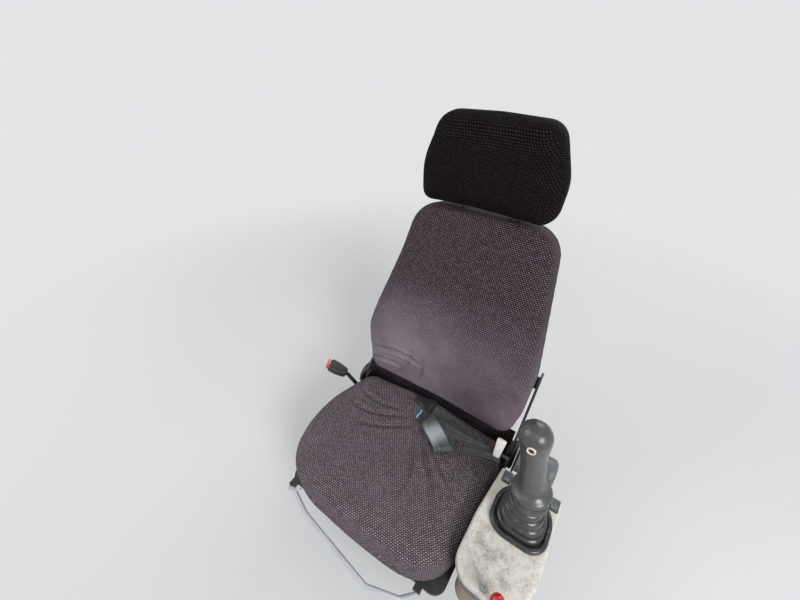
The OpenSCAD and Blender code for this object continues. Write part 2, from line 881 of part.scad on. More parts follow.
function pod_corners(inset = 0) = [
    [pod_inner + inset, pod_front + inset, 30 - inset],
    [pod_outer - pod_cut.x - inset, pod_front + inset, 52 - inset],
    [pod_outer - inset, pod_front + pod_cut.y + inset, 40 - inset],
    [pod_outer - inset, pod_rear - inset, 8 - inset],
    [pod_inner + inset, pod_rear - inset, 8 - inset]
];

// Pivot housing with its blind bore, and the beam that carries the shells
module console_arm() {
    round = 14;
    length = hub_outer - hub_inner;
    end_wall = 9;
    color("#55585b")
        difference() {
            union() {
                translate([hub_inner, hub_y, hub_z])
                    rotate([0, 90, 0])
                        rotate_extrude()
                            polygon(concat([[0, 0], [hub_r, 0]],
                                [for (a = [0:10:90]) [hub_r - round + round * cos(a), length - round + round * sin(a)]],
                                [[0, length]]));
                across(pod_middle - beam_width / 2, beam_width)
                    polygon([[hub_y - 0.8 * hub_r, hub_z - 0.2 * hub_r],
                             [hub_y + 0.63 * hub_r, hub_z - 0.74 * hub_r], [hub_y - 12, beam_z],
                             [beam_end, beam_z], [beam_end, beam_z + beam_height],
                             [pod_rear + 6, beam_z + beam_height]]);
            }
            translate([hub_inner - 1, hub_y, hub_z])
                rotate([0, 90, 0])
                    cylinder(h = length - end_wall + 1, r = shaft_r + pin_clearance);
        }
}

// Lower shell: floor and walls, with a notch at the rear for the beam
module console_lower_shell() {
    height = band_z - pod_bottom;
    color("#8d8377")
        difference() {
            translate([0, 0, pod_bottom])
                linear_extrude(height)
                    polygon(rounded(pod_corners()));
            translate([0, 0, pod_bottom + pod_wall])
                linear_extrude(height)
                    polygon(rounded(pod_corners(pod_wall)));
            translate([pod_middle - beam_width / 2 - 4, pod_rear - 20, beam_z])
                cube([beam_width + 8, 40, beam_height + 4]);
        }
}

module console_band() {
    color("#3c3d3f")
        difference() {
            translate([0, 0, band_z])
                linear_extrude(band_height)
                    polygon(rounded(pod_corners()));
            translate([0, 0, band_z - 1])
                linear_extrude(band_height + 2)
                    polygon(rounded(pod_corners(pod_wall)));
        }
}

module console_top_shell() {
    color("#d8d4cb")
        difference() {
            translate([0, 0, top_z])
                linear_extrude(top_depth)
                    polygon(rounded(pod_corners()));
            translate([0, 0, top_z - 1])
                linear_extrude(top_depth - pod_wall + 1)
                    polygon(rounded(pod_corners(pod_wall)));
            translate([stick_x, stick_y, top_z])
                linear_extrude(top_depth + 1)
                    polygon(rounded(boot_corners(boot_r - boot_lip)));
            for (x = [-rocker_x, rocker_x])
                translate([pod_middle + x - rocker_width / 2, rocker_y - rocker_length / 2, top_z])
                    cube([rocker_width, rocker_length, top_depth + 1]);
            translate([screw_x, screw_y, pod_top - 2])
                cylinder(h = 3, r = 8);
        }
}

// Outline of the boot: blunt at the front, rounder at the rear
function boot_corners(r) = [
    [-r, -r, 0.68 * r], [r, -r, 0.62 * r], [r, r, 0.96 * r], [-r, r, 0.96 * r]
];

// Ring that clamps the boot to the console's top, with a chamfered outer edge
module boot_ring() {
    color("#101113")
        translate([stick_x, stick_y, pod_top])
            difference() {
                layered_pad(boot_corners(boot_r), [[0, 0], [boot_ring_height - 4, 0], [boot_ring_height, 4]]);
                translate([0, 0, -1])
                    linear_extrude(boot_ring_height + 2)
                        polygon(rounded(boot_corners(boot_r - boot_lip)));
            }
}

// Turns a piece to the joystick's lean about the collar's foot
module leaned() {
    translate([stick_x, stick_y, collar_z])
        rotate([0, 0, stick_azimuth])
            rotate([0, stick_lean, 0])
                children();
}

// Stepped boot, closed by a leaning neck under the joystick's collar
module boot() {
    foot_r = boot_r - boot_lip - seat_gap;
    neck = collar_r - 3;
    step_r = (foot_r - neck) / boot_steps;
    step_h = (boot_height + boot_ring_height - 12) / boot_steps;
    color("#17181a") {
        translate([stick_x, stick_y, pod_top])
            for (i = [0:boot_steps - 1])
                translate([0, 0, i * step_h])
                    linear_extrude(step_h)
                        polygon(rounded(boot_corners(foot_r - i * step_r)));
        leaned()
            translate([0, 0, -30])
                cylinder(h = 30, r = neck);
    }
}

// Joystick: ring, bell, neck and egg-shaped head, turned about its own axis
head_middle = stick_length - head_r;
button_z = stick_length - 34;
button_turn = 115;

module joystick() {
    profile = concat(
        [[0, 0], [collar_r, 0], [collar_r, 28], [bell_r, 30], [bell_r, 37], [bell_r - 7, 42]],
        [[neck_r + 3, 53], [neck_r, 66], [neck_r, head_middle - 60], [neck_r + 2, head_middle - 35]],
        [[head_r - 1.5, head_middle - 14]],
        [for (a = [0:10:90]) head_r * [cos(a), sin(a)] + [0, head_middle]]
    );
    color("#2b2d30")
        leaned()
            difference() {
                rotate_extrude()
                    polygon(profile);
                rotate([0, 0, button_turn])
                    translate([head_r - 8, 0, button_z])
                        rotate([0, 90, 0])
                            cylinder(h = 20, r = button_r + pin_clearance);
            }
}

module joystick_button() {
    color("#e6dfc4")
        leaned()
            rotate([0, 0, button_turn])
                translate([head_r - 8, 0, button_z])
                    rotate([0, 90, 0])
                        cylinder(h = 9, r = button_r);
}

// Rocker switch with a shallow valley across its top
module rocker(x) {
    half = rocker_length / 2 - seat_gap;
    width = rocker_width - 2 * seat_gap;
    color("#3d4146")
        translate([0, rocker_y, 0])
            across(pod_middle + x - width / 2, width)
                polygon([[-half, top_z + 4], [half, top_z + 4], [half, pod_top + 5],
                         [0, pod_top + 1], [-half, pod_top + 3]]);
}

// Rod out of the console's front, under the red knob
lever_knob = [lever_x, pod_front - 2, pod_top + 24];
knob_seat = 1;

module lock_lever() {
    color("#6d7073")
        difference() {
            rod([lever_x, pod_front + 1, top_z + 14], lever_knob, 5);
            translate([lever_x - 20, pod_front, top_z])
                cube([40, 40, 60]);
        }
}

module lock_knob() {
    color("#c8141e")
        translate([lever_knob.x, lever_knob.y, lever_knob.z + knob_seat])
            rotate_extrude()
                polygon(concat([[0, 0], [knob_r - 4, 0], [knob_r, 6]],
                    [for (a = [0:15:90]) [knob_r * cos(a), 22 + knob_r * sin(a)]]));
}

module console_screw() {
    color("#9a9c9e")
        translate([screw_x, screw_y, pod_top - 2])
            cylinder(h = 2.5, r = 5);
}

mount_bar(-bar_y);  // mount_bar_front
mount_bar(bar_y);  // mount_bar_rear
suspension_lower_plate();
suspension_bellows();
suspension_upper_plate();
weight_adjuster();
rail_fixed(1);  // rail_fixed_left
rail_fixed(-1);  // rail_fixed_right
rail_sliding(1);  // rail_sliding_left
rail_sliding(-1);  // rail_sliding_right
seat_pan();
cushion();
bail_handle();
recliner_plate(1);  // recliner_plate_left
recliner_plate(-1);  // recliner_plate_right
recliner_cover(1);  // recliner_cover_left
recliner_cover(-1);  // recliner_cover_right
recline_lever();
lever_paddle();
belt_webbing();
belt_tongue();
buckle_stalk();
buckle();
console_bracket();
recliner_arm(1);  // recliner_arm_left
recliner_arm(-1);  // recliner_arm_right
back_frame();
back_shell();
back_pad();
headrest_sleeves();
headrest_posts();
headrest_pad();
console_arm();
console_lower_shell();
console_band();
console_top_shell();
boot_ring();
boot();
joystick();
joystick_button();
rocker(-rocker_x);  // rocker_inner
rocker(rocker_x);  // rocker_outer
lock_lever();
lock_knob();
console_screw();
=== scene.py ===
import math
from functools import partial
import bmesh
import bpy
import numpy as np
from mathutils import Matrix, Vector


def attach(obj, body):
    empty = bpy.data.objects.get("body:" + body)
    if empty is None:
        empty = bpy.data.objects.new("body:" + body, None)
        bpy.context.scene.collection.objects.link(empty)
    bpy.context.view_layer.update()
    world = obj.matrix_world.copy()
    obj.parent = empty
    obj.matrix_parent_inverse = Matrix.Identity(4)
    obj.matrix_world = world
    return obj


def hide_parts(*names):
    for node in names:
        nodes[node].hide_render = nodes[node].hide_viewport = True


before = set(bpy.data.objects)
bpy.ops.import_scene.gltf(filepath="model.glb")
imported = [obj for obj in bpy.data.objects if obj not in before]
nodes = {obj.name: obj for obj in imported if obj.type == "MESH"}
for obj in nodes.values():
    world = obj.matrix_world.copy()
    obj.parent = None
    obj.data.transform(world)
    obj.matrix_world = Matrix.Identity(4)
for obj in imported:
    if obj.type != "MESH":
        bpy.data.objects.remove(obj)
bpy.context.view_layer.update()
scene = bpy.context.scene
mm = 0.001
print("frame loaded:", len(nodes), "nodes")


def unit(vectors):
    return vectors / np.linalg.norm(vectors, axis=-1, keepdims=True)


def smoothStep(t):
    # 3t^2 - 2t^3 on t held between 0 and 1
    t = np.clip(t, 0, 1)
    return t * t * (3 - 2 * t)


def onCircle(angles):
    # (cos, sin) of each angle
    return np.stack([np.cos(angles), np.sin(angles)], -1)


def roundTurn(count, start=0.0):
    # evenly spaced angles of one whole turn
    return np.linspace(start, start + 2 * math.pi, count, endpoint=False)


def runAlong(line):
    # the length covered at each point: running sum of the steps' lengths
    return np.concatenate([[0], np.cumsum(np.linalg.norm(np.diff(line, axis=0), axis=1))])


def spaced(points, count, endpoint=True):
    # a line's points spaced evenly along it
    run = runAlong(points)
    even = np.linspace(0, run[-1], count, endpoint=endpoint)
    return np.stack([np.interp(even, run, points[:, k]) for k in range(points.shape[1])], 1)


def softened(points, rounds=3):
    # each side of an open line cut at its quarter points, again and again
    points = np.array(points, float)
    for _ in range(rounds):
        cut = np.stack([0.75 * points[:-1] + 0.25 * points[1:], 0.25 * points[:-1] + 0.75 * points[1:]], 1)
        points = np.concatenate([points[:1], cut.reshape(-1, points.shape[1]), points[-1:]])
    return points


def gridShape(points, wrapRows=False):
    # quads between neighbouring grid points (row, column), with a cap on the first and last rows unless they join
    rows, cols = points.shape[:2]
    r = np.arange(rows if wrapRows else rows - 1)[:, None]
    c = np.arange(cols)[None, :]
    r2, c2 = (r + 1) % rows, (c + 1) % cols
    corners = np.broadcast_arrays(r * cols + c, r * cols + c2, r2 * cols + c2, r2 * cols + c)
    faces = np.stack(corners, -1).reshape(-1, 4).tolist()
    if not wrapRows:
        faces += [list(range(cols)), list(range((rows - 1) * cols, rows * cols))]
    return points.reshape(-1, 3), faces


def roundedOutline(corners, count):
    # polygon (x, y, radius) with each corner replaced by an arc tangent to both sides, then spaced evenly
    corners = np.array(corners, float)
    points = []
    for a, b, c in zip(np.roll(corners, 1, 0), corners, np.roll(corners, -1, 0)):
        toA, toC = unit(a[:2] - b[:2]), unit(c[:2] - b[:2])
        half = math.acos(np.clip(toA @ toC, -1, 1)) / 2
        middle = b[:2] + unit(toA + toC) * b[2] / math.sin(half)
        first, last = (b[:2] + to * b[2] / math.tan(half) - middle for to in (toA, toC))
        start = math.atan2(first[1], first[0])
        sweep = (math.atan2(last[1], last[0]) - start + 3 * math.pi) % (2 * math.pi) - math.pi
        points.append(middle + b[2] * onCircle(start + sweep * np.linspace(0, 1, 13)))
    return spaced(np.concatenate(points + [points[0][:1]]), count, endpoint=False)


def boxOutline(x, y, width, length, radius, count):
    # a rounded rectangle about (x, y)
    w, l = width / 2, length / 2
    return roundedOutline([(x + i * w, y + j * l, radius) for i, j in ((-1, -1), (1, -1), (1, 1), (-1, 1))], count)


def insetOutline(outline, distance):
    # each point moved inwards along the normal of its two neighbours' chord; the outline runs anticlockwise
    chord = unit(np.roll(outline, -1, 0) - np.roll(outline, 1, 0))
    return outline + distance * np.stack([-chord[:, 1], chord[:, 0]], 1)


def levelRing(outline, height):
    # an outline's points at one height
    return np.column_stack([outline, np.full(len(outline), height)])


def lofted(outline, rings):
    # one ring of the outline for each (inset, height)
    return np.stack([levelRing(insetOutline(outline, inset), height) for inset, height in rings])


def drawnIn(ring, shares, crown=lambda x, y, share: 0 * x):
    # copies of a ring at shares of its size about its middle, raised by the crown
    middle = ring.mean(0)
    rings = middle + (ring - middle) * shares[:, None, None]
    for flat, share in zip(rings, shares):
        flat[:, 2] = ring[:, 2] + crown(flat[:, 0], flat[:, 1], share)
    return rings


def arched(points, start, arch, half):
    # the edge at `start` arched in, fading out over 60 mm: arch (1 - (x / half)^2) e^-(d / 60)^2
    x, y = points[:, 0], points[:, 1]
    rise = arch * np.clip(1 - (x / half) ** 2, 0, 1) * np.exp(-((y - start) / 60) ** 2)
    return np.column_stack([x, y + rise])


def roundEdge(inset, height, radius, upper=True, steps=6):
    # quarter circle as (inset, height) pairs: from the side wall up to the top, or from the foot out to the wall
    angles = np.linspace(0, math.pi / 2, steps)
    side, rise = radius * (1 - np.cos(angles)), radius * np.sin(angles)
    if upper:
        return list(zip(inset + side, height - radius + rise))
    return list(zip(inset + side, height + radius - rise))[::-1]


def turned(profile, origin=(0, 0, 0), axis=(0, 0, 1), count=48, flutes=0, fluteDepth=0.0):
    # (radius, height) profile turned round an axis; flutes is a cosine ripple of the radius round the turn
    profile = np.array(profile, float)
    axis = unit(np.array(axis, float))
    side = unit(np.cross(axis, (0, 1, 0) if abs(axis[1]) < 0.9 else (1, 0, 0)))
    angles = roundTurn(count)
    ring = np.cos(angles)[:, None] * side + np.sin(angles)[:, None] * np.cross(axis, side)
    radius = profile[:, 0, None]
    radius = radius - fluteDepth * (radius > 2) * (0.5 + 0.5 * np.cos(flutes * angles))
    return np.array(origin, float) + radius[..., None] * ring + profile[:, 1, None, None] * axis


def ovalSection(width, depth, count=24, power=2.0):
    # superellipse: |x/a|^p + |y/b|^p = 1
    circle = onCircle(roundTurn(count))
    return np.array([width / 2, depth / 2]) * np.sign(circle) * np.abs(circle) ** (2 / power)


def ovalSections(widths, depths, count, power):
    return np.stack([ovalSection(w, d, count, power) for w, d in np.broadcast(widths, depths)])


def endRounding(t, power, least):
    # share of the full section that is left towards both ends: sqrt(1 - |2t - 1|^power), at least sqrt(least)
    return np.sqrt(np.clip(1 - np.abs(2 * t - 1) ** power, least, 1))


def swept(path, section, upHint=(0, 0, 1)):
    # a section carried along a path: point = path + side * u + up * v, with side square to the path and the hint
    along = unit(np.gradient(path, axis=0))
    side = unit(np.cross(along, np.broadcast_to(np.array(upHint, float), path.shape)))
    up = np.cross(side, along)
    section = np.broadcast_to(section, (len(path),) + section.shape[-2:])
    return path[:, None] + side[:, None] * section[..., :1] + up[:, None] * section[..., 1:]


pivot = {"place": (0, 115, 240), "tilt": 18.2}


def reclined(points):
    # from the backrest's own frame (x, behind, up) at its pivot to the seat's, tilted back at rest
    c, s = math.cos(math.radians(pivot["tilt"])), math.sin(math.radians(pivot["tilt"]))
    x, behind, up = points[..., 0], points[..., 1], points[..., 2]
    return np.array(pivot["place"]) + np.stack([x, behind * c + up * s, up * c - behind * s], -1)


def closedMesh(name, points, faces):
    # millimetre points as a mesh in metres, with doubles merged and faces outwards
    mesh = bpy.data.meshes.new(name)
    mesh.from_pydata((points * mm).tolist(), [], faces)
    work = bmesh.new()
    work.from_mesh(mesh)
    bmesh.ops.remove_doubles(work, verts=work.verts, dist=1e-6)
    bmesh.ops.recalc_face_normals(work, faces=work.faces)
    work.to_mesh(mesh)
    work.free()
    return mesh


def dress(name, mesh, finish, body, replaced=()):
    # a mesh as a piece with its finish, on its body, with the parts it replaces hidden
    piece = bpy.data.objects.new(name, mesh)
    scene.collection.objects.link(piece)
    mesh.materials.append(made[finish])
    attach(piece, body)
    if replaced:
        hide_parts(*replaced)
    return piece


def makePiece(name, shapes, finish, body, replaced=(), sharpAngle=35):
    # shapes joined as one smooth-shaded piece; a shape is a grid closed at both ends, or points with faces
    points, faces, count = [], [], 0
    for shape in shapes:
        shapePoints, shapeFaces = shape if isinstance(shape, tuple) else gridShape(shape)
        points.append(shapePoints)
        faces += [[i + count for i in face] for face in shapeFaces]
        count += len(shapePoints)
    mesh = closedMesh(name, np.concatenate(points), faces)
    mesh.shade_smooth()
    mesh.set_sharp_from_angle(angle=math.radians(sharpAngle))
    return dress(name, mesh, finish, body, replaced)


def linearColour(code):
    # sRGB hex to linear light
    channels = [int(code[i:i + 2], 16) / 255 for i in (1, 3, 5)]
    return tuple(c / 12.92 if c <= 0.04045 else ((c + 0.055) / 1.055) ** 2.4 for c in channels) + (1.0,)


def fill(node, sockets):
    # each socket takes a link, a value or an sRGB hex colour
    for key, value in enumerate(sockets) if isinstance(sockets, list) else sockets.items():
        if isinstance(value, bpy.types.NodeSocket):
            node.id_data.links.new(value, node.inputs[key])
        else:
            node.inputs[key].default_value = linearColour(value) if isinstance(value, str) else value


def addNode(tree, kind, sockets=(), output=0, **settings):
    # a node with its settings and its sockets filled; gives the output that is used
    node = tree.nodes.new("ShaderNode" + kind)
    for key, value in settings.items():
        setattr(node, key, value)
    fill(node, sockets or {})
    return node.outputs[output]


def newMaterial(name, sockets):
    # a material, its shader with the constant values on it, and the function that adds its nodes
    material = bpy.data.materials.new(name)
    material.use_nodes = True
    shader = material.node_tree.nodes["Principled BSDF"]
    fill(shader, sockets)
    return material, shader, partial(addNode, material.node_tree)


smooth = {"interpolation_type": "SMOOTHSTEP"}
colours = {"data_type": "RGBA"}


def surfaceFinish(name, look):
    # One graph for moulded, painted and plated surfaces: a base colour that drifts softly, dust or wear in
    # blotches, a fine grain that shows as bump, and roughness that follows the blotches.
    material, shader, add = newMaterial(name, {
        "Metallic": look["metallic"], "Coat Weight": look["coat"], "Coat Roughness": 0.1})
    place = add("TexCoord", output="Object")
    drift = add("TexNoise", {"Vector": place, "Scale": 1 / (60 * mm), "Detail": 3})
    blotch = add("TexNoise", {"Vector": place, "Scale": 1 / (look["wearMm"] * mm), "Detail": 6, "Roughness": 0.62})
    grain = add("TexNoise", {"Vector": place, "Scale": 1 / (look["grainMm"] * mm), "Detail": 2})
    drifting = add("MapRange", [drift, 0.3, 0.7, 0, 1], **smooth)
    base = add("Mix", {0: drifting, 6: look["colour"], 7: look["second"]}, 2, **colours)
    wornAndLit = add("MapRange", [blotch, look["wearFrom"], 0.75, 0, look["wear"]], **smooth)
    fill(shader, {
        "Base Color": add("Mix", {0: wornAndLit, 6: base, 7: look["dust"]}, 2, **colours),
        "Roughness": add("MapRange", [blotch, 0.3, 0.75, *look["roughness"]], **smooth),
        "Normal": add("Bump", {"Strength": look["bump"], "Distance": 0.3 * mm, "Height": grain})})
    return material


usualFinish = {"metallic": 0.0, "coat": 0.0, "wearMm": 14, "wearFrom": 0.52, "wear": 0.3}
finishKeys = ("colour", "second", "dust", "roughness", "grainMm", "bump")
finishes = {
    # name: the values of finishKeys, then what differs from usualFinish
    # powder coat: even fine orange peel over steel, dull black
    "powderCoatBlack": ("#2a2a2c", "#323234", "#5c5a57", (0.42, 0.6), 0.8, 0.2, {"wear": 0.25}),
    # zinc plate: bright grey metal with a faint spangle
    "zincPlatedSteel": ("#b9bbbd", "#a3a6a9", "#8d8c88", (0.28, 0.42), 2.5, 0.06, {"metallic": 1.0, "wear": 0.2}),
    # light grey plastic dip on a steel tube: soft sheen, scuffs down to darker grey
    "greyDippedTube": ("#bfc3c5", "#b1b5b8", "#7e8082", (0.3, 0.45), 1.5, 0.1,
                       {"wearMm": 9, "wear": 0.45, "wearFrom": 0.58}),
    # moulded black ABS: fine spark-eroded grain
    "mouldedBlackAbs": ("#232325", "#2b2b2d", "#6a6763", (0.42, 0.62), 0.7, 0.3, {"wear": 0.22}),
    # bellows rubber: matt, dusty in the folds
    "mouldedRubberBlack": ("#1d1d1e", "#262627", "#575450", (0.6, 0.8), 1.2, 0.25, {"wear": 0.35, "wearMm": 25}),
    # satin grey ABS of the pivot housing
    "satinGreyAbs": ("#5a5e60", "#646869", "#85857f", (0.35, 0.5), 0.8, 0.15, {}),
    # taupe ABS, lightly dusty
    "mouldedTaupeAbs": ("#857a6d", "#776c60", "#a39a8d", (0.45, 0.6), 0.8, 0.25, {"wear": 0.4}),
    # dark grey satin ABS of the band and the lock lever
    "satinDarkAbs": ("#4a4d50", "#424548", "#7b7b78", (0.32, 0.5), 0.8, 0.15, {}),
    # off-white ABS of the paddle, rubbed and slightly soiled
    "rubbedWhiteAbs": ("#fbfaf5", "#f2f0e8", "#c2bcae", (0.35, 0.5), 0.9, 0.15, {"wearMm": 10, "wear": 0.5}),
    # boot rubber: satin black that catches broad highlights, with dust on it
    "satinBootRubber": ("#2b2d2f", "#36383a", "#8a8884", (0.16, 0.34), 1.0, 0.12, {"wearMm": 18, "wear": 0.35}),
    # joystick grip: black nylon polished and greyed by hands
    "handPolishedNylon": ("#444544", "#50514e", "#7f7c73", (0.22, 0.36), 0.9, 0.08, {"wearMm": 26, "wear": 0.4}),
    # cream ABS ring of the button
    "creamAbs": ("#e3dcc0", "#d8cfae", "#b3a88b", (0.25, 0.35), 1.0, 0.05, {}),
    # slate grey ABS of the rockers, rubbed paler
    "rockerGreyAbs": ("#5b6064", "#53575b", "#8a8e90", (0.3, 0.45), 0.8, 0.1, {"wearMm": 8, "wear": 0.4}),
    # glossy red ABS of the knob and the buckle's button
    "glossRedAbs": ("#c8141e", "#b81019", "#8c2a2a", (0.12, 0.25), 2.0, 0.03, {"coat": 0.6, "wear": 0.2}),
    # brown stained block beside the paddle
    "stainedBrownAbs": ("#5f4130", "#4a3327", "#7d6552", (0.4, 0.6), 0.9, 0.2, {"wear": 0.4}),
    # pale blue tape end
    "blueTape": ("#6fa8cf", "#86b8da", "#a9cadd", (0.35, 0.5), 0.8, 0.1, {}),
}
made = {name: surfaceFinish(name, {**usualFinish, **dict(zip(finishKeys, values)), **values[-1]})
        for name, values in finishes.items()}


def wovenFabric(name, look):
    # Woven seat cloth: rows of short pale dashes on a dark purple-brown ground. Every second row is shifted by
    # half a cell, and its dashes lean the other way. A dash is where
    # (along / half length)^4 + (across / half width)^2 < 1.
    material, shader, add = newMaterial(name, {
        "Roughness": 0.85, "Sheen Weight": look["sheen"], "Sheen Roughness": 0.45, "Sheen Tint": "#b9a3b4",
        "Specular IOR Level": look["specular"]})
    place = add("Attribute", output="Vector", attribute_name="weave")
    x, y, _ = add("SeparateXYZ", [place]).node.outputs
    u = add("Math", [x, look["cellMm"] * mm], operation="DIVIDE")
    v = add("Math", [y, look["rowMm"] * mm], operation="DIVIDE")
    pairs = add("Math", [add("Math", [v, 0.5], operation="MULTIPLY")], operation="FRACT")
    odd = add("Math", [pairs, 0.5], operation="GREATER_THAN")
    shifted = add("Math", [odd, 0.5, u], operation="MULTIPLY_ADD")
    inCell = add("Math", [add("Math", [shifted], operation="FRACT"), 0.5], operation="SUBTRACT")
    inRow = add("Math", [add("Math", [v], operation="FRACT"), 0.5], operation="SUBTRACT")
    along = add("Math", [inCell, look["cellMm"]], operation="MULTIPLY")
    across = add("Math", [inRow, look["rowMm"]], operation="MULTIPLY")
    lean = add("Math", [odd, 2 * look["lean"], -look["lean"]], operation="MULTIPLY_ADD")
    leaning = add("Math", [along, lean, across], operation="MULTIPLY_ADD")
    parts = []
    for distance, half, power in ((along, look["dashMm"] / 2, 4), (leaning, look["threadMm"] / 2, 2)):
        share = add("Math", [add("Math", [distance, half], operation="DIVIDE")], operation="ABSOLUTE")
        parts.append(add("Math", [share, power], operation="POWER"))
    dash = add("MapRange", [add("Math", parts, operation="ADD"), 0.5, 1.6, 1, 0], **smooth)
    column, row = (add("Math", [value], operation="FLOOR") for value in (shifted, v))
    pick = add("TexWhiteNoise", [add("CombineXYZ", [column, row])], noise_dimensions="2D")
    # real threads are 0.5 mm, drawn coarser so that they show
    threads = add("TexNoise", {"Vector": place, "Scale": 1 / (1.3 * mm), "Detail": 1})
    drift = add("TexNoise", {"Vector": place, "Scale": 1 / (90 * mm), "Detail": 3})
    drifting = add("MapRange", [drift, 0.35, 0.65, 0, 1], **smooth)
    ground = add("Mix", {0: drifting, 6: look["ground"], 7: look["second"]}, 2, **colours)
    depth = add("MapRange", [threads, 0.4, 0.62, 0, 0.5], **smooth)
    ground = add("Mix", {0: depth, 6: ground, 7: look["deep"]}, 2, **colours)
    strength = add("Math", [dash, add("MapRange", [pick, 0, 1, look["faint"], 1], **smooth)], operation="MULTIPLY")
    colour = add("Mix", {0: strength, 6: ground, 7: look["dash"]}, 2, **colours)
    # paler by a per-vertex attribute: real wear where it is sat on, and on the backrest painted light, lighter
    # lower down and darker towards the top; a soft drift breaks it up
    wear = add("Attribute", output="Fac", attribute_name="wear")
    wear = add("Math", [wear, add("MapRange", [drift, 0.3, 0.65, 0.7, 1], **smooth)], operation="MULTIPLY")
    wear = add("Math", [wear, look["wornAndLitShare"]], operation="MULTIPLY")
    raised = add("Math", [threads, 0.5, add("Math", [dash, 0.8], operation="MULTIPLY")], operation="MULTIPLY_ADD")
    fill(shader, {"Base Color": add("Mix", {0: wear, 6: colour, 7: look["wornAndLit"]}, 2, **colours),
                  "Normal": add("Bump", {"Strength": 0.7, "Distance": 0.5 * mm, "Height": raised})})
    return material


seatCloth = {"cellMm": 6.0, "rowMm": 4.3, "dashMm": 4.0, "threadMm": 1.9, "lean": 0.4, "faint": 0.5, "sheen": 0.05,
             "specular": 0.15, "ground": "#2d2529", "second": "#34292e", "deep": "#171315", "dash": "#aa9fa6",
             "wornAndLit": "#8d7f88", "wornAndLitShare": 0.55}
# the backrest's cloth: ground and dashes darker than the seat's, which is painted shade towards the top of the
# backrest; its paler worn colour is painted light on the lower back
backCloth = {**seatCloth, "ground": "#1c1518", "second": "#21191c", "deep": "#0d0a0b", "dash": "#80717a",
             "wornAndLit": "#b2a1ad"}
# the headrest's cloth, near black: partly its own darker cloth, partly painted shade
headrestCloth = {**seatCloth, "ground": "#060505", "second": "#0a0807", "deep": "#030303", "dash": "#332d2b",
                 "wornAndLit": "#060505", "sheen": 0.0, "specular": 0.06}
made["seatMoquette"] = wovenFabric("wovenMoquetteSeat", seatCloth)
made["backMoquette"] = wovenFabric("wovenMoquetteBack", backCloth)
made["headrestMoquette"] = wovenFabric("wovenMoquetteHeadrest", headrestCloth)


def wovenWebbing(name, look):
    # Polyester webbing: fine ribs along its length with a chevron across them, streaks along it, a silky shine,
    # and one length (its middle and half length along the strap) painted paler as a highlight.
    material, shader, add = newMaterial(name, {"Sheen Weight": 0.3, "Sheen Roughness": 0.3, "IOR": 1.55})
    place = add("Attribute", output="Vector", attribute_name="weave")
    run, across, _ = add("SeparateXYZ", [place]).node.outputs
    fold = add("Math", [across, look["ribMm"] * mm], operation="PINGPONG")
    twill = add("Math", [fold, 1.2, run], operation="MULTIPLY_ADD")
    turns = add("Math", [twill, 2 * math.pi / (look["threadMm"] * mm)], operation="MULTIPLY")
    wave = add("Math", [turns], operation="SINE")
    edge = add("MapRange", [add("Math", [across], operation="ABSOLUTE"), 19 * mm, 22.5 * mm, 0, 0.5], **smooth)
    scuff = add("TexNoise", {"Vector": place, "Scale": 1 / (14 * mm), "Detail": 5, "Roughness": 0.6})
    stretched = add("VectorMath", [place, (0.12, 1, 1)], operation="MULTIPLY")
    streak = add("TexNoise", {"Vector": stretched, "Scale": 1 / (2.2 * mm), "Detail": 4, "Roughness": 0.6})
    # painted highlight: the strap is paler within half a length of this middle run
    middle, half = look["highlightRun"]
    away = add("Math", [add("Math", [run, middle * mm], operation="SUBTRACT")], operation="ABSOLUTE")
    base = look["dark"]
    for share, colour in (([wave, -1, 1, 0, 1], "light"), ([streak, 0.4, 0.7, 0, 0.35], "dust"),
                          ([away, half * mm, 0, 0, 0.75], "shine")):
        base = add("Mix", {0: add("MapRange", share, **smooth), 6: base, 7: look[colour]}, 2, **colours)
    fill(shader, {"Base Color": add("Mix", {0: edge, 6: base, 7: look["dark"]}, 2, **colours),
                  "Roughness": add("MapRange", [scuff, 0.3, 0.7, 0.32, 0.5], **smooth),
                  "Normal": add("Bump", {"Strength": 0.5, "Distance": 0.3 * mm, "Height": wave})})
    return material


made["beltWebbing"] = wovenWebbing("polyesterWebbing", {
    "ribMm": 5, "threadMm": 1.6, "dark": "#242527", "light": "#4e5153", "dust": "#8f9395", "shine": "#c9ced0",
    "highlightRun": (246, 42)})


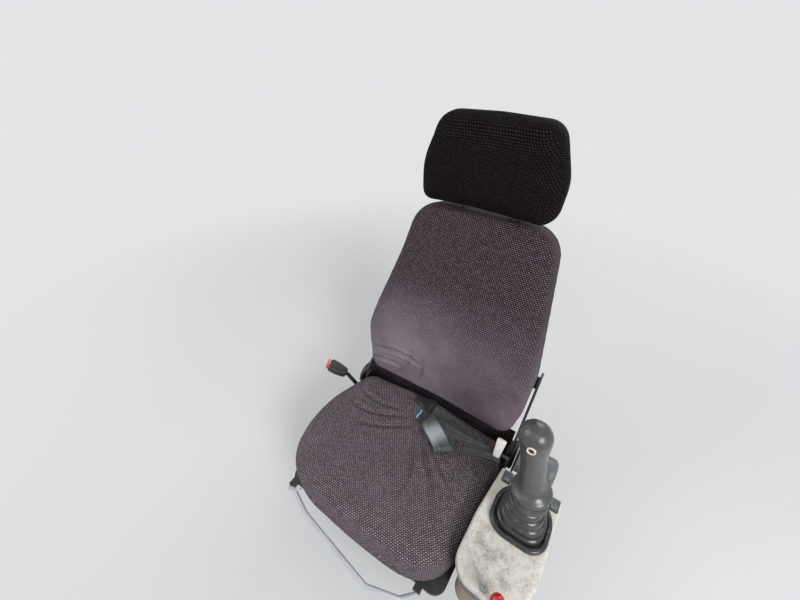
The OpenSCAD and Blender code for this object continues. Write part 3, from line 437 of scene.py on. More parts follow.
def stainedShell(name, look):
    # Off-white ABS of the console's top: brown-grey grime in cloudy patches, thickest ahead of the boot, with
    # small bare chips.
    material, shader, add = newMaterial(name, {"Coat Weight": 0.1, "Coat Roughness": 0.3})
    place = add("TexCoord", output="Object")
    cloud = add("TexNoise", {"Vector": place, "Scale": 1 / (30 * mm), "Detail": 7, "Roughness": 0.65})
    fine = add("TexNoise", {"Vector": place, "Scale": 1 / (4 * mm), "Detail": 5, "Roughness": 0.6})
    specks = add("TexNoise", {"Vector": place, "Scale": 1 / (2.2 * mm), "Detail": 2})
    reach = add("VectorMath", [place, tuple(c * mm for c in look["centre"])], "Value", operation="DISTANCE")
    near, far = look["reachMm"]
    dirt = add("MapRange", [cloud, 0.4, 0.68, 0, 1], **smooth)
    for share in ([reach, near * mm, far * mm, 1, 0.35], [fine, 0.3, 0.6, 0.45, 1]):
        dirt = add("Math", [dirt, add("MapRange", share, **smooth)], operation="MULTIPLY")
    mottle = add("MapRange", [fine, 0.35, 0.7, 0, 1], **smooth)
    base = add("Mix", {0: mottle, 6: look["clean"], 7: look["second"]}, 2, **colours)
    base = add("Mix", {0: dirt, 6: base, 7: look["grime"]}, 2, **colours)
    chips = add("MapRange", [specks, 0.66, 0.72, 0, 0.7], **smooth)
    fill(shader, {"Base Color": add("Mix", {0: chips, 6: base, 7: look["clean"]}, 2, **colours),
                  "Roughness": add("MapRange", [dirt, 0, 0.8, 0.34, 0.62], **smooth),
                  "Normal": add("Bump", {"Strength": 0.12, "Distance": 0.3 * mm, "Height": fine})})
    return material


made["stainedConsole"] = stainedShell("stainedWhiteAbs", {
    "centre": (318, -150, 332), "reachMm": (30, 110), "clean": "#d8d5cd", "second": "#c8c4bb", "grime": "#8f867a"})

# CAD nodes whose shape stays, with their finish
keptFinish = {
    "powderCoatBlack": ["mount_bar_front", "mount_bar_rear", "suspension_lower_plate", "suspension_upper_plate",
                        "seat_pan", "recliner_plate_left", "recliner_plate_right", "recline_lever",
                        "console_bracket", "recliner_arm_left", "recliner_arm_right", "back_frame"],
    "zincPlatedSteel": ["rail_fixed_left", "rail_fixed_right", "rail_sliding_left", "rail_sliding_right",
                        "headrest_posts"],
    "mouldedBlackAbs": ["headrest_sleeves", "buckle_stalk"],
    "satinDarkAbs": ["lock_lever"],
}
for finish, names in keptFinish.items():
    for name in names:
        nodes[name].data.materials.clear()
        nodes[name].data.materials.append(made[finish])
print("materials made:", len(made))

# camera at the photo's viewing angle: place, lens and film in mm, and which way its picture's right, down and
# depth point
view = {"place": (264.85, -451.83, 1164.67), "lens": 15.477, "film": 36,
        "right": (0.82703028, 0.56214976, -0.00292462),
        "down": (0.34932065, -0.51798002, -0.78081482),
        "ahead": (-0.44044976, 0.64473588, -0.62475568)}
camera = bpy.data.objects.new("camera", bpy.data.cameras.new("camera"))
camera.data.lens = view["lens"]
camera.data.sensor_width = view["film"]
camera.data.clip_start = 0.02
turn = Matrix([view["right"], [-c for c in view["down"]], [-c for c in view["ahead"]]]).transposed().to_4x4()
camera.matrix_world = Matrix.Translation([c * mm for c in view["place"]]) @ turn
scene.collection.objects.link(camera)
scene.camera = camera
scene.view_settings.view_transform = "Standard"

studio = {"floorHalf": 12.0, "floor": "#d9dadb", "fade": (0.9, 2.6), "backdrop": "#e2e4e6", "sky": "#eef0f2",
          "skyStrength": 0.5, "aim": (0.05, 0, 0.45)}
reach = studio["floorHalf"]
floorMesh = bpy.data.meshes.new("floor")
floorMesh.from_pydata([(-reach, -reach, 0), (reach, -reach, 0), (reach, reach, 0), (-reach, reach, 0)], [],
                      [(0, 1, 2, 3)])
floor = bpy.data.objects.new("floor", floorMesh)
scene.collection.objects.link(floor)
floorMaterial, floorShader, add = newMaterial("paleFloor", {
    "Roughness": 0.9, "Base Color": studio["floor"], "Specular IOR Level": 0.1})
# away from the seat the floor turns into the plain backdrop, so that no far edge shows
away = add("VectorMath", [add("TexCoord", output="Object")], "Value", operation="LENGTH")
paths = add("LightPath").node.outputs
seen = add("Math", [paths["Is Camera Ray"], paths["Is Glossy Ray"]], operation="MAXIMUM")
fade = add("Math", [add("MapRange", [away, *studio["fade"], 0, 1], **smooth), seen], operation="MULTIPLY")
plain = add("Emission", {"Color": studio["backdrop"], "Strength": 1.0})
fill(floorMaterial.node_tree.nodes["Material Output"],
     {"Surface": add("MixShader", [fade, floorShader.outputs[0], plain])})
floorMesh.materials.append(floorMaterial)

lamps = {
    # name: place in metres, size in metres, watts
    "key": ((2.1, -1.3, 2.0), 1.3, 62),
    "fill": ((-2.2, -1.0, 1.9), 2.0, 26),
    "back": ((0.3, 2.4, 2.2), 1.8, 24),
}
for name, (place, size, watts) in lamps.items():
    lamp = bpy.data.lights.new(name, "AREA")
    lamp.shape = "DISK"
    lamp.size = size
    lamp.energy = watts
    lampObject = bpy.data.objects.new(name, lamp)
    facing = (Vector(place) - Vector(studio["aim"])).to_track_quat("Z", "Y").to_matrix().to_4x4()
    lampObject.matrix_world = Matrix.Translation(place) @ facing
    scene.collection.objects.link(lampObject)
world = bpy.data.worlds.new("studio")
scene.world = world
world.use_nodes = True
add = partial(addNode, world.node_tree)
paths = add("LightPath").node.outputs
seen = add("Math", [paths["Is Camera Ray"], paths["Is Glossy Ray"]], operation="MAXIMUM")
fill(world.node_tree.nodes["Background"], {
    "Color": add("Mix", {0: seen, 6: studio["sky"], 7: studio["backdrop"]}, 2, **colours),
    "Strength": add("MapRange", {0: seen, 3: studio["skyStrength"], 4: 1.0})})
print("camera, floor and lights set")


def evaluatedMesh(piece):
    graph = bpy.context.evaluated_depsgraph_get()
    return bpy.data.meshes.new_from_object(piece.evaluated_get(graph))


def meshArray(mesh, what="co"):
    # the vertices' places ("co") or normals ("normal") as one array
    source, key = (mesh.vertices, "co") if what == "co" else (mesh.vertex_normals, "vector")
    out = np.zeros(len(mesh.vertices) * 3, np.float32)
    source.foreach_get(key, out)
    return out.reshape(-1, 3).astype(float)


def setAttribute(mesh, name, kind, values):
    # one value or vector for each vertex; a vector's field is "vector", a number's is "value"
    field = "vector" if kind == "FLOAT_VECTOR" else "value"
    mesh.attributes.new(name, kind, "POINT").data.foreach_set(field, values.astype(np.float32).ravel())


def lineDistance(points, line):
    # distance from each point to a polyline, and how far along it (0 to 1) the nearest place is
    best, where = np.full(len(points), 1e9), np.zeros(len(points))
    run = runAlong(line)
    for i, (a, b) in enumerate(zip(line[:-1], line[1:])):
        t = np.clip(((points - a) @ (b - a)) / ((b - a) @ (b - a)), 0, 1)
        d = np.linalg.norm(points - a - t[:, None] * (b - a), axis=1)
        where = np.where(d < best, run[i] + t * (run[i + 1] - run[i]), where)
        best = np.minimum(d, best)
    return best, where / run[-1]


def blownUp(pad, look):
    # cloth blown up by pressure with its rear held, each vertex moved no further than the cap
    start = meshArray(pad.data)
    held = pad.vertex_groups.new(name="held")
    held.add(np.nonzero(start[:, 2] < look["heldBelow"] * mm)[0].tolist(), 1.0, "REPLACE")
    cloth = pad.modifiers.new("cloth", "CLOTH")
    cloth.settings.vertex_group_mass = "held"
    cloth.settings.use_pressure = True
    cloth.settings.uniform_pressure_force = look["pressure"]
    cloth.settings.tension_stiffness = 12
    cloth.settings.bending_stiffness = 0.6
    cloth.settings.effector_weights.gravity = 0
    frames = 20
    cloth.point_cache.frame_start = 1
    cloth.point_cache.frame_end = frames
    for step in range(1, frames + 1):
        scene.frame_set(step)
    move = meshArray(evaluatedMesh(pad)) - start
    pad.modifiers.clear()
    scene.frame_set(1)
    far = np.linalg.norm(move, axis=1, keepdims=True)
    start = start + move * np.minimum(1, look["capMm"] * mm / np.maximum(far, 1e-9))
    pad.data.vertices.foreach_set("co", start.astype(np.float32).ravel())
    pad.data.update()


def pressedIn(co, normal, look):
    # Height along the normals: each crease is a valley e^-(d / width)^2 with a raised shoulder, faded at its ends;
    # ripples are a product of sines; each seam is a groove round the side.
    facing = smoothStep((normal[:, 2] - 0.2) / 0.5)
    rise = np.zeros(len(co))
    for line, width, depth in look["creases"]:
        distance, where = lineDistance(co[:, :2], spaced(softened(line), 24))
        taper = np.sin(np.pi * np.clip(where, 0, 1)) ** 0.6
        valley = np.exp(-(distance / width) ** 2)
        shoulder = np.exp(-((distance - 1.9 * width) / (1.2 * width)) ** 2)
        rise += taper * facing * depth * (0.55 * shoulder - valley)
    for amplitude, size, phase in look["ripples"]:
        rise += amplitude * facing * np.sin(co[:, 0] / size + phase) * np.sin(co[:, 1] / size * 1.3 + 2 * phase)
    for height, width, depth in look["seams"]:
        rise -= depth * np.exp(-((co[:, 2] - height) / width) ** 2) * (1 - facing)
    return rise


def inflatedPad(name, outline, look, toSeat, finish, body, replaced):
    # Rings of the outline up the side, drawn in to a crowned top and a flat foot -> even voxels -> blown up ->
    # subdivided -> creases and seams pressed in along the normals -> placed in the seat's frame.
    side = lofted(outline, look["side"])
    shares = np.linspace(1, 0.01, 26)[1:]
    form = np.concatenate([drawnIn(side[0], shares[::-1]), side, drawnIn(side[-1], shares, look["crown"])])
    pad = bpy.data.objects.new(name + "_form", closedMesh(name, *gridShape(form)))
    scene.collection.objects.link(pad)
    voxels = pad.modifiers.new("voxels", "REMESH")
    voxels.mode = "VOXEL"
    voxels.voxel_size = look["voxelMm"] * mm
    pad.data = evaluatedMesh(pad)
    pad.modifiers.clear()
    blownUp(pad, look)
    finer = pad.modifiers.new("finer", "SUBSURF")
    finer.levels = finer.render_levels = 1
    mesh = evaluatedMesh(pad)
    bpy.data.objects.remove(pad)
    co, normal = meshArray(mesh) / mm, meshArray(mesh, "normal")
    co = co + normal * pressedIn(co, normal, look)[:, None]
    drop = np.clip(look["rim"] - co[:, 2], 0, None)
    mesh.vertices.foreach_set("co", (toSeat(co) * mm).astype(np.float32).ravel())
    # the weave runs on down the sides: the flat place moved outwards by the drop
    setAttribute(mesh, "weave", "FLOAT_VECTOR",
                 np.column_stack([co[:, :2] + normal[:, :2] * drop[:, None], np.zeros(len(co))]) * mm)
    setAttribute(mesh, "wear", "FLOAT", np.clip(look["wear"](co[:, 0], co[:, 1]), 0, 1))
    mesh.update()
    mesh.shade_smooth()
    pad = dress(name, mesh, finish, body, [replaced])
    print(name, "made:", len(mesh.polygons), "faces")
    return pad


# side: (inset, height); creases: (line, width, depth); ripples: (amplitude, size, phase);
# seams: (height, width, depth)
cushionLook = {
    "voxelMm": 6, "pressure": 4.0, "capMm": 4, "heldBelow": 200, "fill": 0.75, "rim": 290,
    "side": [(22, 188.5), (8, 194), (4, 208), (1, 226), (0.5, 262), (2, 276), (6, 287), (12, 293.5), (20, 297)],
    "crown": lambda x, y, s: 4 * (1 - s ** 2) - 9 * np.exp(-(x / 130) ** 2) * np.exp(-((y - 10) / 130) ** 2),
    "creases": [([(18, 20), (60, -45), (105, -90), (140, -140), (172, -190)], 6, 7.5),
                ([(60, -12), (105, -50), (150, -80), (182, -100)], 6, 6.5),
                ([(-60, 30), (-100, 18), (-140, 8), (-195, 18)], 6, 5.4),
                ([(-40, 20), (-90, -15), (-140, -35), (-205, -30)], 6, 5.6),
                ([(0, 10), (-50, -30), (-100, -60), (-160, -75)], 7, 4.6),
                ([(20, -10), (45, -70), (60, -130), (66, -190)], 6.5, 5.0)],
    "ripples": [(0.8, 38, 0.4), (0.5, 21, 1.9)],
    "seams": [(206, 2.2, 1.6)],
    # paler towards the front edge; darker towards +x, which is painted shade
    "wear": lambda x, y: 0.1 + 0.14 * np.exp(-((y + 190) / 110) ** 2) - 0.1 * smoothStep((x - 60) / 120),
}
cushionOutline = roundedOutline([(-226, -276, 130), (0, -286, 400), (226, -276, 110), (243, -140, 300),
                                 (238, 100, 50), (0, 122, 400), (-222, 98, 55), (-283, -90, 300)], 260)
cushionCover = inflatedPad("cushion_cover", cushionOutline, cushionLook, lambda p: p, "seatMoquette", "carriage",
                           "cushion")

backLook = {
    "voxelMm": 6, "pressure": 4.0, "capMm": 4, "heldBelow": 12, "fill": 0.75, "rim": 66,
    "side": [(11, 0.5), (4, 5), (1, 16), (0.5, 30), (1, 46), (3, 58), (7, 67), (13, 72.5), (20, 75.5)],
    "crown": lambda x, y, s: 4 * (1 - s ** 2) - 4 * np.exp(-(x / 110) ** 2),
    "creases": [([(-225, 150), (-170, 175), (-110, 190), (-40, 180)], 6.5, 4.6),
                ([(-215, 115), (-160, 135), (-100, 140)], 6.5, 4.2),
                ([(-120, 90), (-85, 150), (-70, 220)], 6.5, 3.6),
                ([(-60, 85), (-40, 140), (-35, 200)], 6.5, 3.6),
                ([(10, 85), (20, 140), (12, 190)], 9, 1.6),
                ([(80, 95), (100, 150), (95, 205)], 9, 1.4)],
    "ripples": [(0.7, 45, 1.1), (0.4, 23, 0.3)],
    "seams": [(14, 2.2, 1.6)],
    # painted light: paler lower down and towards x = -90, darker towards the top
    "wear": lambda x, y: smoothStep((440 - y) / 300) * (0.45 + 0.55 * np.exp(-((x + 90) / 150) ** 2)),
}
backOutline = arched(roundedOutline([(-233, 60, 50), (233, 60, 50), (242, 238, 160), (181, 608, 82),
                                     (-181, 608, 82), (-242, 238, 160)], 260), 60, 8, 225)
lumbar = {"depth": 58, "height": 256, "reach": 150, "thickness": 78, "rear": 44}


def backToSeat(p):
    # the depth grows towards the small of the back: z (1 + depth / thickness e^-((y - height) / reach)^2)
    bulge = np.exp(-((p[:, 1] - lumbar["height"]) / lumbar["reach"]) ** 2)
    swell = 1 + lumbar["depth"] / lumbar["thickness"] * bulge
    return reclined(np.column_stack([p[:, 0], lumbar["rear"] - p[:, 2] * swell, p[:, 1]]))


inflatedPad("backrest_cover", backOutline, backLook, backToSeat, "backMoquette", "backrest",
            "back_pad")

headLook = {
    "voxelMm": 5, "pressure": 4.0, "capMm": 4, "heldBelow": 10, "fill": 0.85, "rim": 70,
    "side": [(24, 1), (10, 7), (4, 18), (1, 30), (0.5, 54), (3, 64), (8, 74), (15, 83), (24, 90), (33, 93.5)],
    "crown": lambda x, y, s: 6 * (1 - s ** 2),
    "creases": [],
    "ripples": [(0.4, 40, 0.2)],
    "seams": [(22, 2.0, 1.8)],
    "wear": lambda x, y: 0 * x,
}
headOutline = roundedOutline([(-161, 0, 32), (161, 0, 32), (165, 88, 120), (127, 198, 46), (-127, 198, 46),
                              (-165, 88, 120)], 220)
headPlace = {"face": -68, "thickness": 96, "foot": 613, "height": 198, "roll": 20, "tilt": 16, "lip": 8,
             "lipHeight": 70}


def headToSeat(p):
    # the upper part rolls down towards the face, the foot's front edge hangs as a lip over the backrest's face,
    # and the whole leans forwards about the middle of its foot
    h = headPlace
    deep, high = p[:, 2] / h["thickness"], p[:, 1] / h["height"]
    hang = h["lip"] * smoothStep(deep / 0.3 - 1.9) * np.clip(1 - p[:, 1] / h["lipHeight"], 0, 1)
    up = p[:, 1] - hang - h["roll"] * np.clip(deep, 0, 1) ** 4 * np.clip(high, 0, 1) ** 2
    behind = h["thickness"] / 2 - p[:, 2]
    c, s = math.cos(math.radians(h["tilt"])), math.sin(math.radians(h["tilt"]))
    return reclined(np.column_stack([p[:, 0], h["face"] + h["thickness"] / 2 + behind * c - up * s,
                                     h["foot"] + up * c + behind * s]))


inflatedPad("headrest_cover", headOutline, headLook, headToSeat, "headrestMoquette", "headrest",
            "headrest_pad")

# bellows: a rounded box whose sides go in and out by a sharpened cosine
bellows = {"width": 268, "length": 328, "foot": 16, "height": 120, "folds": 6, "depth": 9, "corner": 34}
levels = np.linspace(0, 1, bellows["folds"] * 10 + 1)
waves = bellows["depth"] * (0.5 + 0.5 * np.cos(2 * math.pi * bellows["folds"] * levels)) ** 1.4
bellowsOutline = boxOutline(0, 0, bellows["width"], bellows["length"], bellows["corner"], 200)
makePiece("suspension_gaiter", [lofted(bellowsOutline, zip(waves, bellows["foot"] + bellows["height"] * levels))],
          "mouldedRubberBlack", "base", ["suspension_bellows"], 60)

adjuster = {"place": (0, -185, 141), "axis": (0, -1, 0), "flutes": 12, "fluteDepth": 1.4,
            "shaft": [(0.3, 0), (4, 0), (4, 17), (0.3, 17)],
            "knob": [(0.3, 16), (13, 16), (16.5, 18), (17, 21), (17, 36), (16, 40), (12.5, 42), (10, 41),
                     (8, 40.2), (0.3, 40)]}
makePiece("weight_knob", [turned(adjuster["knob"], adjuster["place"], adjuster["axis"], 96, adjuster["flutes"],
                                 adjuster["fluteDepth"]),
                          turned(adjuster["shaft"], adjuster["place"], adjuster["axis"], 24)],
          "mouldedBlackAbs", "base", ["weight_adjuster"])

# hexagon heads on the lower plate and the recliner plates, each with its washer
bolts = {"radius": 6.5, "height": 5, "washer": 9, "washerThick": 1.6, "chamfer": 1,
         "plate": [(x, y, 16) for x in (-118, 118) for y in (-162, 162)],
         "recliner": [(x, y, 196) for x in (-242, 242) for y in (84, 132)]}


def boltHead(place, axis):
    # a turned head of six sides on a turned washer
    foot, radius, cut = bolts["washerThick"], bolts["radius"], bolts["chamfer"]
    top = foot + bolts["height"]
    head = [(0.2, foot), (radius, foot), (radius, top - cut), (radius - cut, top), (0.2, top)]
    washer = [(0.2, 0), (bolts["washer"], 0), (bolts["washer"], foot), (0.2, foot)]
    return [turned(head, place, axis, 6), turned(washer, place, axis, 32)]


makePiece("base_bolts", sum([boltHead(p, (0, 0, 1)) for p in bolts["plate"]], []), "zincPlatedSteel", "base")
makePiece("recliner_bolts", sum([boltHead(p, (math.copysign(1, p[0]), 0, 0)) for p in bolts["recliner"]], []),
          "zincPlatedSteel", "carriage")

# bail: a bent tube with a small hook on the sitter's right
bail = {"radius": 5, "bend": 16, "hookRadius": 3.0, "hookBend": 6,
        "corners": [(-216, -280.8, 182), (-194, -281, 203.9), (-122, -306, 212), (90, -334, 212),
                    (162, -309, 203.9), (184, -280.8, 182)],
        "hook": [(-184, -285, 205), (-182, -281, 221), (-170, -275, 224)]}


def bentLine(corners, radius, steps=7):
    # straights joined by arcs tangent to both
    corners = np.array(corners, float)
    line = [corners[:1]]
    for a, b, c in zip(corners[:-2], corners[1:-1], corners[2:]):
        before, after = unit(b - a), unit(c - b)
        turnBy = math.acos(before @ after)
        start = b - before * radius * math.tan(turnBy / 2)
        inward = unit(after - before * (before @ after))
        angles = np.linspace(0, turnBy, steps)[:, None]
        line.append(start + radius * (before * np.sin(angles) + inward * (1 - np.cos(angles))))
    return np.concatenate(line + [corners[-1:]])


makePiece("bail_tube", [swept(bentLine(bail["corners"], bail["bend"]),
                              ovalSection(2 * bail["radius"], 2 * bail["radius"], 20)),
                        swept(bentLine(bail["hook"], bail["hookBend"]),
                              ovalSection(2 * bail["hookRadius"], 2 * bail["hookRadius"], 14))],
          "greyDippedTube", "carriage", ["bail_handle"])

# round covers of the recline pivots: a domed cap with a ring groove and a centre plug
cover = {"x": 249.3, "y": 115, "z": 240,
         "profile": [(0.4, 0), (39, 0), (40, 1), (40, 7), (39.2, 9.6), (37, 11.4), (34, 12.1), (30.5, 12.4),
                     (29.7, 11.2), (28.3, 11.2), (27.5, 12.4), (12, 12.5), (11.2, 11.4), (10.2, 11.4), (9.4, 12.3),
                     (0.4, 12.4)]}
for side, name in ((1, "left"), (-1, "right")):
    makePiece("recliner_cap_" + name,
              [turned(cover["profile"], (side * cover["x"], cover["y"], cover["z"]), (side, 0, 0), 72)],
              "mouldedBlackAbs", "carriage", ["recliner_cover_" + name])

# paddle: a tapered block with rounded edges, wider at its top, and the stained block that holds it
paddle = {"foot": (220, 44, 306), "lean": 28, "length": 50, "thickness": 10, "widths": (17, 24)}
block = {"foot": (206, 60, 300), "lean": 2, "height": 20, "width": 13, "depth": 10}
t = np.linspace(0, 1, 26)
edge = endRounding(t, 16, 0) * 0.22 + 0.78  # the ends are drawn in to 0.78 of the full section
narrow, wide = paddle["widths"]
lean = math.radians(paddle["lean"])
paddleAxis = np.array([0, math.sin(lean), math.cos(lean)])
paddleLine = np.array(paddle["foot"]) + t[:, None] * paddle["length"] * paddleAxis
paddleSections = ovalSections((narrow + (wide - narrow) * t) * edge, paddle["thickness"] * edge, 32, 6)
makePiece("lever_handle", [swept(paddleLine, paddleSections, (0, 1, 0))], "rubbedWhiteAbs", "carriage",
          ["lever_paddle"])
blockLine = np.array(block["foot"]) + t[:, None] * np.array([0, block["lean"], block["height"]])
blockSections = ovalSections(block["width"] * edge, block["depth"] * edge, 24, 4)
makePiece("lever_block", [swept(blockLine, blockSections, (0, 1, 0))], "stainedBrownAbs", "carriage")
print("base and carriage made")


def strapMesh(name, middle, run, across, thick, finish, body, replaced=()):
    # A flat strap of small thickness round its middle surface, a grid of (along, across) points, with a weave
    # attribute that holds the run along it and the place across it.
    face = unit(np.cross(np.gradient(middle, axis=0), np.gradient(middle, axis=1)))
    rounding = np.sqrt(np.clip(1 - np.abs(across / across.max()) ** 12, 0.05, 1))
    lift = face * rounding[..., None] * thick / 2
    strap = makePiece(name, [np.concatenate([middle + lift, (middle - lift)[:, ::-1]], 1)], finish, body,
                      replaced, 50)
    weave = np.stack([run, across, 0 * run], -1)
    setAttribute(strap.data, "weave", "FLOAT_VECTOR", np.concatenate([weave, weave[:, ::-1]], 1) * mm)
    return strap


def ribbon(name, look, finish, body):
    # a strap carried along its line, with its width along the directions in `across`
    line = spaced(softened(look["line"], 4), look["rings"])
    aside = spaced(softened(look["across"], 4), look["rings"])
    along = unit(np.gradient(line, axis=0))
    aside = unit(aside - along * (aside * along).sum(1, keepdims=True))
    run, across = np.meshgrid(runAlong(line), np.linspace(-0.5, 0.5, 17) * look["width"], indexing="ij")
    middle = line[:, None] + aside[:, None] * across[..., None]
    return strapMesh(name, middle, run, across, look["thick"], finish, body), run[-1, 0]


coverPoints = meshArray(cushionCover.data) / mm
coverPoints = coverPoints[meshArray(cushionCover.data, "normal")[:, 2] > 0.3]


def coverHeight(xy):
    # height of the cushion's cover under each point, as the mean of its six nearest vertices, row by row
    rows = []
    for row in xy:
        away = (row[:, :1] - coverPoints[:, 0]) ** 2 + (row[:, 1:] - coverPoints[:, 1]) ** 2
        rows.append(coverPoints[np.argpartition(away, 6, axis=1)[:, :6], 2].mean(1))
    return np.stack(rows)


def foldedOver(xy, lift, run, fold):
    # what lies past the fold's line turns half round it and comes back over (up 1) or under (up -1) itself
    along = unit(np.array(fold["along"], float))
    past = np.array([along[1], -along[0]]) * fold["side"]
    d = np.where(run > fold["from"], (xy - fold["at"]) @ past, 0)
    turnBy = np.clip(d / fold["radius"], 0, math.pi)
    back = np.clip(d - math.pi * fold["radius"], 0, None)
    shift = fold["radius"] * np.sin(turnBy) - back - np.clip(d, 0, None)
    return xy + shift[..., None] * past, lift + fold["up"] * fold["radius"] * (1 - np.cos(turnBy))


belt = {"width": 47, "thick": 2.2, "spacing": 1.6, "pleat": 2.2, "pleats": 3, "riseFrom": 135, "riseOver": 60}
straps = {
    # gathered: (share of the width at the start, run after which it lies at full width)
    # from the side, gathered at the lever, along the cushion, back over itself in a puffed fold, down, and under
    "belt_strap_loop": {
        "start": (212, 61), "towards": (-1, 0), "length": 396, "lift": (2.4, 9), "gathered": (0.2, 150),
        "folds": [{"at": (27, 32), "along": (0.30, 0.954), "side": -1, "from": 120, "radius": 5.5, "up": 1},
                  {"at": (91, -24), "along": (0.80, 0.60), "side": 1, "from": 215, "radius": 7, "up": -1}]},
    # from the tongue's slot to the right, and under the fold
    "belt_strap_tongue": {"start": (8, 110), "towards": (1, -0.22), "length": 118, "lift": (1.6, 1.6),
                          "gathered": (1, 1), "folds": [], "replaces": ["belt_webbing"]},
    # the same strap again, where it comes out below on its way to the side
    "belt_strap_end": {"start": (222, 72), "towards": (-0.95, -0.31), "length": 92, "lift": (1.4, 1.4),
                       "gathered": (0.75, 300), "folds": []},
}
for name, look in straps.items():
    rows = int(look["length"] / belt["spacing"])
    run, across = np.meshgrid(np.linspace(0, look["length"], rows), np.linspace(-0.5, 0.5, 17) * belt["width"],
                              indexing="ij")
    least, freeAfter = look["gathered"]
    share = np.clip(least + (1 - least) * run / freeAfter, 0, 1)
    towards = unit(np.array(look["towards"], float))
    aside = np.array([towards[1], -towards[0]])
    aside = -aside if aside[1] > 0 else aside
    sideways = (across + belt["width"] / 2) * share
    xy = np.array(look["start"]) + run[..., None] * towards + sideways[..., None] * aside
    low, high = look["lift"]
    lift = low + (high - low) * smoothStep((belt["riseFrom"] - xy[..., 0]) / belt["riseOver"])
    # pleats where it is gathered
    pleats = 1 + np.sin(across / belt["width"] * belt["pleats"] * 2 * math.pi)
    lift = lift + belt["pleat"] * (1 - share) * pleats
    for fold in look["folds"]:
        xy, lift = foldedOver(xy, lift, run, fold)
    middle = np.concatenate([xy, (coverHeight(xy) + lift)[..., None]], -1)
    strap = strapMesh(name, middle, run, across, belt["thick"], "beltWebbing", "carriage",
                      look.get("replaces", ()))

# skirt: a flap of the back cover under the backrest's foot, which closes the gap behind the cushion with dark
# cloth; partly painted shade, where shade falls behind the cushion
shadeSkirt = {"line": [(-238, 148, 240), (-100, 152, 240), (100, 152, 240), (238, 148, 240)], "across": [(0, 0, 1)] * 4,
         "rings": 120, "width": 104, "thick": 1.6}
shadeFlap, run = ribbon("backrest_shade_skirt", shadeSkirt, "backMoquette", "backrest")

# tongue: a plate with a slot for the webbing and a grip with two finger ribs
tongue = {"place": (-12, 84, 298), "plate": [(2, -20, 6), (30, -24, 7), (30, 24, 7), (2, 20, 6)], "halfThick": 3,
          "slot": (18, 8, 36, 3), "grip": (-32, 4), "widths": (26, 36), "rib": 3, "depths": (8, 11)}
tx, ty, tz = tongue["place"]
plateOutline = roundedOutline([(tx + x, ty + y, radius) for x, y, radius in tongue["plate"]], 96)
slotX, slotWidth, slotLength, slotRadius = tongue["slot"]
slotOutline = boxOutline(tx + slotX, ty, slotWidth, slotLength, slotRadius, 96)


def flatRing(outer, inner, foot, top, edge=1.2):
    # a plate with a hole: outer edge, top, hole edge and underside as one closed loop of rings
    rings = [(outer, 0, foot + edge), (outer, 0, top - edge), (outer, edge, top), (inner, -edge, top),
             (inner, 0, top - edge), (inner, 0, foot + edge), (inner, -edge, foot), (outer, edge, foot)]
    loop = [levelRing(insetOutline(outline, inset), height) for outline, inset, height in rings]
    return gridShape(np.stack(loop), wrapRows=True)


s = np.linspace(0, 1, 30)
gripLine = np.stack([np.linspace(tx + tongue["grip"][0], tx + tongue["grip"][1], 30), 0 * s + ty, 0 * s + tz], 1)
slim, broad = tongue["widths"]
gripWidth = slim + (broad - slim) * smoothStep(s) - tongue["rib"] * np.sin(3 * math.pi * s) ** 2
flatter, thicker = tongue["depths"]
gripDepth = (flatter + (thicker - flatter) * np.sin(math.pi * s)) * endRounding(s, 10, 0.1)
makePiece("tongue_grip", [flatRing(plateOutline, slotOutline, tz - tongue["halfThick"], tz + tongue["halfThick"]),
                          swept(gripLine, ovalSections(gripWidth, gripDepth, 28, 4))],
          "mouldedBlackAbs", "carriage", ["belt_tongue"])

tape = {"line": [(-10, 58, 299), (-6, 48, 300), (-10, 38, 299), (-8, 30, 297)],
        "across": [(1, 0, 0), (1, 0.2, 0.1), (1, -0.2, 0.1), (1, 0, 0)], "rings": 30, "width": 6, "thick": 1.2}
ribbon("tape_end", tape, "blueTape", "carriage")

# buckle: an oval-sided block with a red press button at the mouth
buckle = {"foot": (-278.7, 40.7, 294), "axis": (-62, -30, 46), "length": 72, "bodyShare": 0.9, "widths": (28, 40),
          "depth": 24, "button": (30, 15), "buttonFrom": 0.84, "buttonShare": 0.15}
axis = unit(np.array(buckle["axis"], float))
edge = endRounding(s, 10, 0.12)
buckleLine = np.array(buckle["foot"]) + s[:, None] * axis * buckle["length"] * buckle["bodyShare"]
slim, broad = buckle["widths"]
bodySections = ovalSections((slim + (broad - slim) * smoothStep(s * 1.6)) * edge, buckle["depth"] * edge, 36, 4)
makePiece("buckle_body", [swept(buckleLine, bodySections)], "mouldedBlackAbs", "carriage",
          ["buckle"])
buttonPlace = buckle["buttonFrom"] + buckle["buttonShare"] * s[:, None]
buttonLine = np.array(buckle["foot"]) + buttonPlace * axis * buckle["length"]
buttonSections = ovalSections(buckle["button"][0] * edge, buckle["button"][1] * edge, 32, 5)
makePiece("buckle_button", [swept(buttonLine, buttonSections)], "glossRedAbs", "carriage")
print("belt made")

# the backrest's rear shell: rings up its side, then drawn in to its middle with a raised panel and shallow ribs
shell = {"rear": 44.3, "panel": 2.0, "panelEdge": 0.78, "ribDepth": 2.0, "ribPitch": 34, "ribFrom": 330,
         "ribEdge": 0.7, "side": [(6, 0.0), (6.5, 6), (9, 13)] + roundEdge(8, 26, 20)[1:]}


def shellCrown(x, y, share):
    # panel minus ribs, where a rib is cos^3 of the height, kept to its positive half
    panel = shell["panel"] * smoothStep((shell["panelEdge"] - share) / 0.06)
    ribs = np.clip(np.cos((y - shell["ribFrom"]) / shell["ribPitch"] * math.pi), 0, 1) ** 3
    return panel - shell["ribDepth"] * smoothStep((shell["ribEdge"] - share) / 0.08) * ribs


